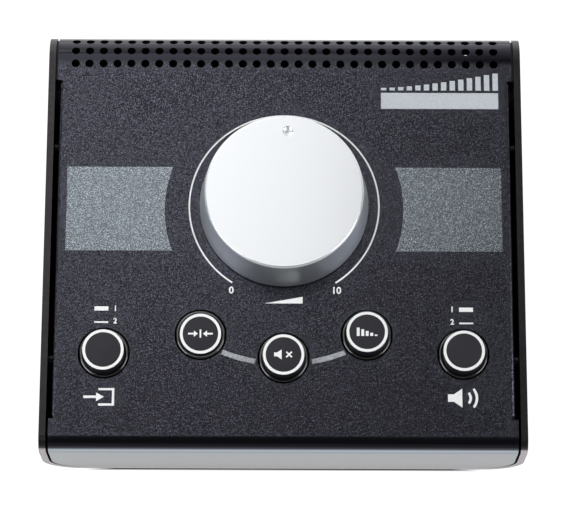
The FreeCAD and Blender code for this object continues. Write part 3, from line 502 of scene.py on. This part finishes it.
def soft_profile(corners, steps=6):
    """Radius and height along a line whose corners (radius, height, rounding) become arcs: each arc
    touches both its legs and turns about the point that lies one rounding away from each."""
    spots = np.array([corner[:2] for corner in corners], float)
    line = [spots[:1]]
    for before, here, after, corner in zip(spots, spots[1:], spots[2:], corners[1:]):
        rounding = corner[2]
        inward = (before - here) / np.linalg.norm(before - here)
        onward = (after - here) / np.linalg.norm(after - here)
        half = math.acos(np.clip(inward @ onward, -1, 1)) / 2
        if rounding == 0 or half > 1.5:
            line.append(here[None])
            continue
        middle = (inward + onward) / np.linalg.norm(inward + onward)
        centre = here + middle * rounding / math.sin(half)
        first = here + inward * rounding / math.tan(half) - centre
        last = here + onward * rounding / math.tan(half) - centre
        sweep = math.pi - 2 * half
        share = np.linspace(0, 1, steps)[:, None]
        arc = (np.sin((1 - share) * sweep) * first + np.sin(share * sweep) * last) / math.sin(sweep)
        line.append(centre + arc)
    line.append(spots[-1:])
    return np.concatenate(line)


def lathe(profile, angles):
    """Across, up and out on a grid: radius times cosine, radius times sine, and the height."""
    radius, height = profile[:, :1], profile[:, 1:]
    return radius * np.cos(angles), radius * np.sin(angles), height + 0 * angles


def full_turn(steps):
    """Angles once round, with the last on the first so that the seam welds shut."""
    return np.linspace(0, 2 * math.pi, steps + 1)


print("profile and lathe ready")

# %% [markdown]
# ## Dark strips in the rear seams
#
# The cover's edge and the shell's side wall leave a narrow seam. Round the rear bend there is no flange below it,
# so a strip of black rubber is laid in the seam there as painted shade: it stands for the shade deep in the seam
# and keeps the light from behind out. It runs up the slope, round the bend and down the back, a little below the
# surface.

# %% Rear seam shade strips
SHADE_STRIP_FROM, BEND_FROM, BEND_ROUND, BEND_TURN, BACK_RUN = 47.4, 55.63, 10.0, 100.0, 31.0
SHADE_STRIP_NEAR, SHADE_STRIP_FAR, SHADE_STRIP_HIGH, SHADE_STRIP_LOW = 81.4, 82.1, 0.8, 2.6


def shade_strip_path(depth):
    """Up the slope and out of the panel along the bent sheet, at that depth below its surface."""
    turn = np.radians(np.linspace(0, BEND_TURN, 26))
    inside = BEND_ROUND - depth
    up_slope = BEND_FROM + inside * np.sin(turn)
    out = inside * np.cos(turn) - BEND_ROUND
    last_up = up_slope[-1] + BACK_RUN * math.cos(turn[-1])
    last_out = out[-1] - BACK_RUN * math.sin(turn[-1])
    return np.array([[SHADE_STRIP_FROM, *up_slope, last_up], [-depth, *out, last_out]])


def end_row(strip, row):
    """A row that holds only the middle of the strip's four corners, which closes that end."""
    middle = strip[:, [row], :4].mean(axis=2, keepdims=True)
    return np.broadcast_to(middle, strip[:, :1].shape)


corners = [(SHADE_STRIP_NEAR, SHADE_STRIP_HIGH), (SHADE_STRIP_FAR, SHADE_STRIP_HIGH), (SHADE_STRIP_FAR, SHADE_STRIP_LOW),
           (SHADE_STRIP_NEAR, SHADE_STRIP_LOW), (SHADE_STRIP_NEAR, SHADE_STRIP_HIGH)]
up_slope, out = np.array([shade_strip_path(depth) for across, depth in corners]).transpose(1, 2, 0)
across = np.broadcast_to([across for across, depth in corners], out.shape)
strip = np.stack([across, up_slope, out])
strip = np.concatenate([end_row(strip, 0), strip, end_row(strip, -1)], axis=1)
# Each strip is painted shade: black rubber put where the seam holds only shade.
for side, hand in ((-1, "left"), (1, "right")):
    points = on_panel(side * strip[0], strip[1], strip[2])
    make_piece("rear_seam_shade_" + hand, points, grid_faces(*strip.shape[1:]), foot_rubber,
               "housing", "foot_rubber")
print("laid two rear seals")

# %% [markdown]
# ## The volume knob
#
# The knob is a shallow cup that widens a little towards the panel, with a fine bright chamfer
# round its flat top and a small round dimple as its pointer. A lathe makes the cup. The dimple
# is pressed into the grid of the top, so the grid's rings and spokes are packed more closely
# there than elsewhere.

# %% Volume knob
KNOB_TOP, KNOB_BASE, KNOB_FOOT = 27.7, 29.85, 1.0
KNOB_WALL, KNOB_CAP, CHAMFER, KNOB_ROUND = 2.4, 3.2, 0.5, 0.25
DIMPLE_OUT, DIMPLE_WIDE, DIMPLE_DEEP = 22.0, 1.75, 0.6
DIMPLE_TURN = math.radians(90 - 3.3)
FINE_FROM, FINE_TO, FINE_STEP = 19.8, 24.3, 0.14  # the grid's rings where the dimple lies
SPOKES, CROWDED = 384, 0.86  # and how far its spokes lean towards the dimple

inside_top = KNOB_HIGH - KNOB_CAP
edge = soft_profile([
    (FINE_TO + 0.2, KNOB_HIGH, 0), (KNOB_TOP - CHAMFER, KNOB_HIGH, KNOB_ROUND),
    (KNOB_TOP, KNOB_HIGH - CHAMFER, KNOB_ROUND), (KNOB_BASE, KNOB_FOOT, KNOB_ROUND),
    (KNOB_BASE - KNOB_WALL, KNOB_FOOT, KNOB_ROUND), (KNOB_TOP - KNOB_WALL, inside_top, 0.6),
    (0, inside_top, 0)])
coarse = np.linspace(0, FINE_FROM - 0.4, 12)
top_rings = np.concatenate([coarse, np.arange(FINE_FROM, FINE_TO, FINE_STEP)])
top_line = np.stack([top_rings, np.full(len(top_rings), KNOB_HIGH)], axis=-1)
steady = full_turn(SPOKES)
spokes = DIMPLE_TURN + steady - CROWDED * np.sin(steady)
across, up_slope, out = lathe(np.concatenate([top_line, edge]), spokes)

ball = (DIMPLE_WIDE ** 2 + DIMPLE_DEEP ** 2) / (2 * DIMPLE_DEEP)
away = np.hypot(across - DIMPLE_OUT * math.cos(DIMPLE_TURN),
                up_slope - DIMPLE_OUT * math.sin(DIMPLE_TURN))
bowl = np.sqrt(np.maximum(ball ** 2 - away ** 2, 0)) - (ball - DIMPLE_DEEP)
on_top = out > KNOB_HIGH - 0.01
out = np.where(on_top, KNOB_HIGH - np.maximum(bowl, 0), out)
knob = make_piece("volume_knob_shell", on_panel(across, up_slope, out), grid_faces(*out.shape),
                  satin_aluminium, "volume_dial", "satin_aluminium")
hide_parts("volume_knob")
print(knob.name, len(knob.data.polygons), "faces")

# %% [markdown]
# ## Button caps and their sleeves
#
# Each cap is a plain moulded cup with a small round edge. It slides in a glossy sleeve that ends
# just above the panel, so that its lip shows as a thin lighter ring in the dark hole. Both are
# lathe shapes. A latched button's cap is lower than the others, and the packed model says how far.

# %% Caps and sleeves
CAP, CAP_EDGE, CAP_LONG, CAP_WALL = 7.35, 0.22, 8.0, 1.5
SLEEVE_IN, SLEEVE_OUT, SLEEVE_RIM, SLEEVE_FOOT = 7.65, 8.55, 0.2, -13.0
BUTTONS = ("source", "mono", "mute", "dim", "monitor")

cap_profile = soft_profile([
    (0, 0, 0), (CAP, 0, CAP_EDGE), (CAP, -CAP_LONG, 0.15), (CAP - CAP_WALL, -CAP_LONG, 0.15),
    (CAP - CAP_WALL, -CAP_WALL, 0.4), (0, -CAP_WALL, 0)], 7)
sleeve_profile = soft_profile([
    (SLEEVE_IN, SLEEVE_FOOT, 0), (SLEEVE_IN, SLEEVE_RIM, 0.2), (SLEEVE_OUT, SLEEVE_RIM, 0.4),
    (SLEEVE_OUT, SLEEVE_FOOT, 0), (SLEEVE_IN, SLEEVE_FOOT, 0)], 8)
cap_tops = {}
sleeves = []
for button in BUTTONS:
    middle_across, middle_up, middle_out = panel_spot(button + "_cap")
    cap_tops[button] = (middle_across, middle_up, middle_out + CAP_LONG / 2)
    across, up_slope, out = lathe(cap_profile, full_turn(96))
    points = on_panel(middle_across + across, middle_up + up_slope, cap_tops[button][2] + out)
    cap = make_piece(button + "_cap_shell", points, grid_faces(*out.shape), cap_plastic,
                     button + "_button", "cap_plastic")
    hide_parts(button + "_cap")
    across, up_slope, out = lathe(sleeve_profile, full_turn(96))
    sleeves.append(on_panel(middle_across + across, middle_up + up_slope, out))
guides = make_piece("button_sleeves", *joined(sleeves), sleeve_plastic, "housing", "black_plastic")
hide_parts("button_guides")
print({button: [round(v, 2) for v in spot] for button, spot in cap_tops.items()})

# %% [markdown]
# ## Printing
#
# A print is a film of ink. Each one is drawn flat, in millimetres round its own middle, from
# simple shapes: bands that follow an arc, straight bars, and filled outlines. It is then laid on
# the panel, on a cap or on the back face, and given the thickness of the film. Words and marks
# of the trade are left off. Numbers and plain signs say what each control does.

# %% Printing helpers
FILM = 0.04  # millimetres of ink


def arc_band(radius, width, start, end, steps=48, middle=(0, 0)):
    """A band along an arc: radius plus or minus half a width, from one angle to another, where
    angles are degrees clockwise from straight up."""
    turn = np.radians(np.linspace(start, end, steps))
    radii = np.array([radius - width / 2, radius + width / 2])[:, None]
    grid = np.stack([middle[0] + radii * np.sin(turn), middle[1] + radii * np.cos(turn)], axis=-1)
    return grid.reshape(-1, 2), grid_faces(2, steps)


def outline(*corners):
    """One filled shape from its corners."""
    return np.array(corners, float), [list(range(len(corners)))]


def bar(left, low, right, high):
    """A filled rectangle."""
    return outline((left, low), (right, low), (right, high), (left, high))


def shifted(shape, across, up, scale=1.0):
    """A shape moved and resized on its sheet."""
    points, faces = shape
    return points * scale + (across, up), faces


def lettered(text, size, across, up):
    """Figures from the built-in typeface, centred: the curve becomes a mesh before it is placed."""
    curve = bpy.data.curves.new(text, "FONT")
    curve.body = text
    curve.size = size
    curve.align_x, curve.align_y = "CENTER", "CENTER"
    curve.offset = size * 0.02
    holder = bpy.data.objects.new(text, curve)
    flat = bpy.data.meshes.new_from_object(holder)
    points = np.empty(3 * len(flat.vertices), np.float32)
    flat.vertices.foreach_get("co", points)
    points = points.reshape(-1, 3)[:, :2].astype(float)
    faces = [list(face.vertices) for face in flat.polygons]
    bpy.data.objects.remove(holder)
    bpy.data.curves.remove(curve)
    bpy.data.meshes.remove(flat)
    middle = (points.max(axis=0) + points.min(axis=0)) / 2
    return points - middle + (across, up), faces


def print_on(name, shapes, lay, finish, body="housing", slot="white_plastic"):
    """Join flat shapes, lay them on a surface and thicken them downwards by the film."""
    points, faces = [], []
    for sheet_points, sheet_faces in shapes:
        faces += [[corner + len(points) for corner in face] for face in sheet_faces]
        points += sheet_points.tolist()
    across, up_slope = np.array(points).T
    film = make_piece(name, lay(across, up_slope), faces, finish, body, slot, soft=False)
    solid = film.modifiers.new("film", "SOLIDIFY")
    solid.thickness = FILM * MM
    solid.offset = -1
    return film


def panel_film(across, up_slope):
    """Where a film on the panel has its upper face."""
    return on_panel(across, up_slope, FILM)


print("printing helpers ready")

# %% [markdown]
# ## Scale, fields and signs on the panel
#
# A thin ring runs round the knob from zero to ten, with a rising wedge between the figures for
# volume. Two broad grey fields close in on the knob with the same curve, and a grey band links
# the three mode buttons. Over each selector a thick and a thin bar show what its latched and
# released positions choose, and signs below it stand for the input and for the loudspeakers.

# %% Ring, figures and wedge
RING, RING_LINE, RING_END = 33.5, 0.56, 147.3
FIGURE_SIZE, FIGURE_UP = 3.4, -30.9
WEDGE_HALF, WEDGE_LOW, WEDGE_HIGH = 6.6, -35.7, -33.3
ring = arc_band(RING, RING_LINE, -RING_END, RING_END, 181)
figures = [lettered(text, FIGURE_SIZE, across, FIGURE_UP)
           for text, across in (("0", -18.4), ("10", 18.7))]
wedge = outline((-WEDGE_HALF, WEDGE_LOW), (WEDGE_HALF, WEDGE_LOW), (WEDGE_HALF, WEDGE_HIGH))
print_on("scale_ring", [ring], panel_film, white_ink)
print_on("scale_figures", figures, panel_film, white_ink)
print_on("volume_wedge", [wedge], panel_film, white_ink)
print("the scale turns through", 2 * RING_END, "degrees")

# %% Grey fields and band
FIELD_SIDE, FIELD_TOP, FIELD_LOW = 76.9, 14.3, -16.6
FIELD_CURVE, FIELD_NEAR, FIELD_ROWS = 44.5, 42.15, 25


def field(side):
    """A rectangle whose inner side is an arc: it bulges from the knob by the curve's sagitta."""
    middle = (FIELD_TOP + FIELD_LOW) / 2
    rise = np.linspace(FIELD_LOW, FIELD_TOP, FIELD_ROWS)
    inner = FIELD_NEAR - FIELD_CURVE + np.sqrt(FIELD_CURVE ** 2 - (rise - middle) ** 2)
    rows = np.stack([np.full(FIELD_ROWS, FIELD_SIDE), inner], axis=0) * side
    grid = np.stack([rows, np.broadcast_to(rise, rows.shape)], axis=-1)
    return grid.reshape(-1, 2), grid_faces(2, FIELD_ROWS)


print_on("left_field", [field(-1)], panel_film, silver_ink)
print_on("right_field", [field(1)], panel_film, silver_ink)
BAND, BAND_WIDE, BAND_FROM, BAND_TO = 57.4, 1.75, 9.9, 21.9
links = [arc_band(BAND, BAND_WIDE, 180 + side * BAND_FROM, 180 + side * BAND_TO, 24)
         for side in (-1, 1)]
print_on("mode_band", links, panel_film, pale_ink)
print("printed two fields and the mode band")

# %% Signs for the selectors
def loudspeaker(size):
    """A magnet, a horn and two sound waves, one unit being half the horn's height."""
    horn = outline((-1.9, -0.45), (-1.2, -0.45), (-0.2, -1.15),
                   (-0.2, 1.15), (-1.2, 0.45), (-1.9, 0.45))
    waves = [arc_band(radius, 0.3, 50, 130, 16, (-0.2, 0)) for radius in (1.0, 1.75)]
    return [(points * size, faces) for points, faces in [horn, *waves]]


def arrow_in(size):
    """An arrow that points into an open frame, for a signal coming in."""
    shaft = outline((-2.6, -0.17), (-0.9, -0.17), (-0.9, -0.6), (0.1, 0),
                    (-0.9, 0.6), (-0.9, 0.17), (-2.6, 0.17))
    frame_line = outline((-0.6, 1.2), (-0.6, 0.9), (1.2, 0.9), (1.2, -0.9),
                         (-0.6, -0.9), (-0.6, -1.2), (1.5, -1.2), (1.5, 1.2))
    return [(points * size, faces) for points, faces in (shaft, frame_line)]


SIGN_UP, LEGEND_UP = -69.4, -37.75
BAR_NEAR, BAR_FAR, CHOICE_AT, CHOICE_SIZE = 61.3, 66.15, 58.85, 2.7
for button, side, sign in (("source", -1, arrow_in(2.6)), ("monitor", 1, loudspeaker(2.9))):
    middle = cap_tops[button][0]
    placed = [shifted(shape, middle, SIGN_UP) for shape in sign]
    print_on(button + "_sign", placed, panel_film, white_ink)
    left, right = sorted((BAR_NEAR * side, BAR_FAR * side))
    legend = [bar(left, LEGEND_UP - 0.75, right, LEGEND_UP + 0.75),
              bar(left, LEGEND_UP - 5.2, right, LEGEND_UP - 4.65),
              lettered("1", CHOICE_SIZE, CHOICE_AT * side, LEGEND_UP + 0.1),
              lettered("2", CHOICE_SIZE, CHOICE_AT * side, LEGEND_UP - 4.4)]
    print_on(button + "_legend", legend, panel_film, white_ink)
print("printed the selectors' signs and legends")

# %% A rising row of bars over a pale strip in the upper corner
STRIP_LEFT, STRIP_RIGHT, STRIP_LOW, STRIP_HIGH = 34.5, 76.4, 36.4, 42.4
print_on("pale_strip", [bar(STRIP_LEFT, STRIP_LOW, STRIP_RIGHT, STRIP_HIGH)], panel_film, light_ink)
STEPS, BAR_WIDE, BAR_FOOT = 14, 1.9, 43.4
heights = 0.9 + 5.6 * np.linspace(0, 1, STEPS) ** 1.5
spots = np.linspace(STRIP_LEFT + BAR_WIDE / 2, STRIP_RIGHT - BAR_WIDE / 2, STEPS)
level_bars = [bar(spot - BAR_WIDE / 2, BAR_FOOT, spot + BAR_WIDE / 2, BAR_FOOT + height)
              for spot, height in zip(spots, heights)]
print_on("level_bars", level_bars, panel_film, light_ink)
print("printed the panel")

# %% [markdown]
# ## Printing on the caps
#
# Every cap has a white ring at its edge. The three mode buttons carry a sign inside it: two
# arrows that meet for mono, a crossed-out loudspeaker for mute, and falling bars for dim.

# %% Cap rings and signs
CAP_RING, CAP_RING_WIDE = 6.68, 0.98


def cap_film(button):
    """Where a film on that cap has its upper face."""
    middle_across, middle_up, top = cap_tops[button]
    return lambda across, up_slope: on_panel(middle_across + across, middle_up + up_slope,
                                             top + FILM)


arrow = np.array([(0.9, 0), (2.3, 1.15), (2.3, 0.3), (4.3, 0.3), (4.3, -0.3), (2.3, -0.3),
                  (2.3, -1.15)])
mono_sign = [bar(-0.28, -1.5, 0.28, 1.5), outline(*(arrow * (-1, 1))), outline(*arrow)]
arms = [np.array([(0, 0.35), (0.75, 1.1), (1.1, 0.75)])]
for quarter_turn in range(3):
    arms.append(arms[-1] @ [[0, -1], [1, 0]])
cross = outline(*np.concatenate(arms))
mute_sign = [shifted(loudspeaker(1.55)[0], -0.35, 0), shifted(cross, 1.9, 0, 1.05)]
BAR_APART, BAR_FALL = 1.55, 0.62
dim_sign = [bar(-3.6 + BAR_APART * step, -1.5, -2.6 + BAR_APART * step, 1.5 - BAR_FALL * step)
            for step in range(5)]
signs = {"mono": mono_sign, "mute": mute_sign, "dim": dim_sign}
for button in BUTTONS:
    shapes = [arc_band(CAP_RING, CAP_RING_WIDE, 0, 360, 97)] + signs.get(button, [])
    print_on(button + "_cap_print", shapes, cap_film(button), white_ink, button + "_button")
print("printed", len(BUTTONS), "caps")

# %% [markdown]
# ## The back face
#
# Eight jacks stand in four pairs. Each jack's plastic bush carries a fine thread that shows in
# front of its nut, and each pair has a bracket with a number and the sign of what it serves.

# %% Jack threads
JACK_HIGH, JACK_BUSH, THREAD_PITCH, THREAD_DEEP = 24.0, 5.6, 0.75, 0.16
THREAD_FROM, THREAD_TO = 2.75, 4.5
JACK_NAMES = [name for name in nodes if name.endswith("_jack") and name != "small_jack"]
rise = np.linspace(THREAD_FROM, THREAD_TO, 29)
crest = JACK_BUSH - 0.02 + THREAD_DEEP * np.abs(np.sin(math.pi * rise / THREAD_PITCH))
inner = JACK_BUSH - 0.3
closed = np.array([(inner, THREAD_FROM), *zip(crest, rise), (inner, THREAD_TO),
                   (inner, THREAD_FROM)])
grids = []
for name in JACK_NAMES:
    low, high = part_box(name)
    across, up_slope, out = lathe(closed, full_turn(48))
    grids.append(on_back((low.x + high.x) / 2 / MM + across, JACK_HIGH + up_slope, out))
threads = make_piece("jack_threads", *joined(grids), jack_plastic, "housing", "jack_plastic")
print(threads.name, "on", len(grids), "jacks")

# %% Printing on the back face
BRACKET_HIGH, BACK_SIGN_HIGH = 13.0, 9.8


def back_film(across, high):
    """The outer face of a film on the back face, with across mirrored for a viewer behind."""
    return on_back(-across, high, FILM)


def pair_bracket(left, right, high, line=0.4, tick=1.6):
    """A line under a pair of jacks with a short tick up at each end."""
    return outline((left, high), (right, high), (right, high + tick), (right - line, high + tick),
                   (right - line, high + line), (left + line, high + line),
                   (left + line, high + tick), (left, high + tick))


jack_across = sorted(-(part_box(name)[0].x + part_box(name)[1].x) / 2 / MM for name in JACK_NAMES)
back_shapes = []
for number, (near, far) in enumerate(zip(jack_across[::2], jack_across[1::2])):
    middle = (near + far) / 2
    back_shapes.append(pair_bracket(near - 4, far + 4, BRACKET_HIGH))
    back_shapes.append(lettered("12"[number % 2], FIGURE_SIZE, middle - 3.2, BACK_SIGN_HIGH))
    sign = arrow_in(1.15) if number < 2 else loudspeaker(1.3)
    back_shapes += [shifted(shape, middle + 2.4, BACK_SIGN_HIGH) for shape in sign]
print_on("back_legends", back_shapes, back_film, white_ink)
print("printed the back face")

# %% [markdown]
# ## Floor, surroundings and light
#
# The part lies on a flat pale sheet, and a bright sweep behind it shows only in reflections. One large soft lamp
# hangs overhead, a little to the left, with a weaker one beside it. A bank on either side in front lights the
# knob's skirt and the prints, and a fainter one stands behind at the left. To the camera, and in reflections, the
# sheet is white: a share of its brightness is light of its own that only such rays see, and the rest is real
# reflected light, so the part keeps its shadow. Inside the part's outline the sheet is painted dark and has no
# light of its own: a painted shadow under the part, which deepens the thin dark line under the front face. In
# front of the sheet the room is dark, and that gives the round front edge its dark line.

# %% Floor
FLOOR_HALF = 4.0
SHADE_X, SHADE_Y = (0.060, 0.071), (0.0729, 0.0735)  # metres: painted shadow inside, open floor past them
OPEN_GLOW = 0.93


def pale_sheet():
    """A pale sheet with a painted shadow under the part, dark and without glow inside its outline, that glows of
    its own past the part's edges.
    """
    finish = Finish("pale sheet", Roughness=0.9, Emission_Color=tint(1, 1, 1))
    path = finish.add("ShaderNodeLightPath")
    seen = finish.math("MAXIMUM", path.outputs["Is Camera Ray"], path.outputs["Is Glossy Ray"])
    seen = finish.math("MAXIMUM", seen, path.outputs["Is Transmission Ray"])
    spot = finish.add("ShaderNodeSeparateXYZ", Vector=finish.place)
    past_x = finish.spread(finish.math("ABSOLUTE", spot.outputs["X"], 0.0), *SHADE_X)
    past_y = finish.spread(finish.math("ABSOLUTE", spot.outputs["Y"], 0.0), *SHADE_Y)
    outside_painted_shadow = finish.math("MAXIMUM", past_x, past_y)
    glow = finish.math("MULTIPLY", outside_painted_shadow, OPEN_GLOW)
    # Inside the part's outline the colour is painted dark and the glow is off: a painted shadow under the part.
    return finish.into(Base_Color=finish.blend(outside_painted_shadow, (0.05, 0.055, 0.06), (0.25, 0.25, 0.25)),
                       Emission_Strength=finish.math("MULTIPLY", seen, glow))


floor_mesh = bpy.data.meshes.new("floor")
corners = [(x * FLOOR_HALF, y * FLOOR_HALF, 0) for x, y in ((-1, -1), (1, -1), (1, 1), (-1, 1))]
floor_mesh.from_pydata(corners, [], [(0, 1, 2, 3)])
floor_mesh.materials.append(pale_sheet())
floor = bpy.data.objects.new("floor", floor_mesh)
bpy.context.scene.collection.objects.link(floor)
print("laid a floor", 2 * FLOOR_HALF, "metres across")

# %% World
world = bpy.data.worlds.new("studio")
bpy.context.scene.world = world
world.use_nodes = True
sky = world.node_tree


def world_node(kind, *values, **settings):
    """A node of the world with its first sockets filled or linked."""
    node = sky.nodes.new(kind)
    for name, value in settings.items():
        setattr(node, name, value)
    for socket, value in zip(node.inputs, values):
        feed(sky, socket, value)
    return node.outputs


def world_range(value, *limits):
    """The value stretched from the first two limits to the last two, or to 0 and 1."""
    return world_node("ShaderNodeMapRange", value, *limits)["Result"]


def world_math(operation, *values):
    """The values joined by that operation."""
    return world_node("ShaderNodeMath", *values, operation=operation)["Value"]


# a direction's Z is 1 straight up, and its Y is -1 straight to the front
DARK_ROOM, FRONT_GLOW = 0.03, 0.3
GLOW_HEIGHTS, GLOW_SIDES = (0.60, 0.30), (-0.25, -0.60)
SWEEP_LOW, SWEEP_HIGH, SWEEP_TOP, SWEEP_SIDES = 2.1, 0.5, 0.85, (0.15, 0.5)
looking = world_node("ShaderNodeSeparateXYZ", world_node("ShaderNodeTexCoord")["Generated"])
rays = world_node("ShaderNodeLightPath")
low_down = world_range(looking["Z"], *GLOW_HEIGHTS)
in_front = world_range(looking["Y"], *GLOW_SIDES)
glow = world_math("MULTIPLY", low_down, in_front)
level = world_math("MULTIPLY_ADD", glow, FRONT_GLOW, DARK_ROOM)
behind = world_range(looking["Y"], *SWEEP_SIDES)
sweep = world_range(looking["Z"], 0.0, SWEEP_TOP, SWEEP_LOW, SWEEP_HIGH)
sweep = world_math("MULTIPLY", sweep, behind)
level = world_math("MULTIPLY_ADD", sweep, rays["Is Glossy Ray"], level)
level = world_math("MAXIMUM", level, rays["Is Camera Ray"])
feed(sky, sky.nodes["Background"].inputs["Color"], level)
print("made the room with", len(sky.nodes), "nodes")


# %% Lamps
def softbox(name, spot, aim, wide, deep, brightness):
    """A flat lamp at a spot, facing its aim; its brightness is what a mirror would show."""
    lamp = bpy.data.lights.new(name, "AREA")
    lamp.shape = "RECTANGLE"
    lamp.size, lamp.size_y = wide, deep
    lamp.energy = brightness * math.pi * wide * deep
    box = bpy.data.objects.new(name, lamp)
    facing = (Vector(spot) - Vector(aim)).to_track_quat("Z", "Y")
    box.matrix_world = Matrix.Translation(spot) @ facing.to_matrix().to_4x4()
    bpy.context.scene.collection.objects.link(box)
    print(name, "lamp of", round(lamp.energy, 2), "watts")


softbox("overhead", (-0.105, 0.24, 0.95), (-0.105, 0.24, 0.0), 0.39, 0.58, 1.0)
softbox("overhead left", (-0.21, 0.16, 0.94), (-0.21, 0.16, 0.0), 0.22, 0.38, 0.3)
softbox("front left", (-0.50, -0.30, 0.55), (0, 0, 0.05), 0.4, 0.4, 6.8)
softbox("front right", (0.52, -0.25, 0.55), (0, 0, 0.05), 0.4, 0.4, 6.0)
softbox("back left", (-0.35, 0.50, 0.50), (0, 0, 0.05), 0.4, 0.4, 2.0)

# %% [markdown]
# ## Colours
#
# Colours are shown as they are, with no film curve.

# %% Finish
view = bpy.context.scene.view_settings
view.view_transform = "Standard"
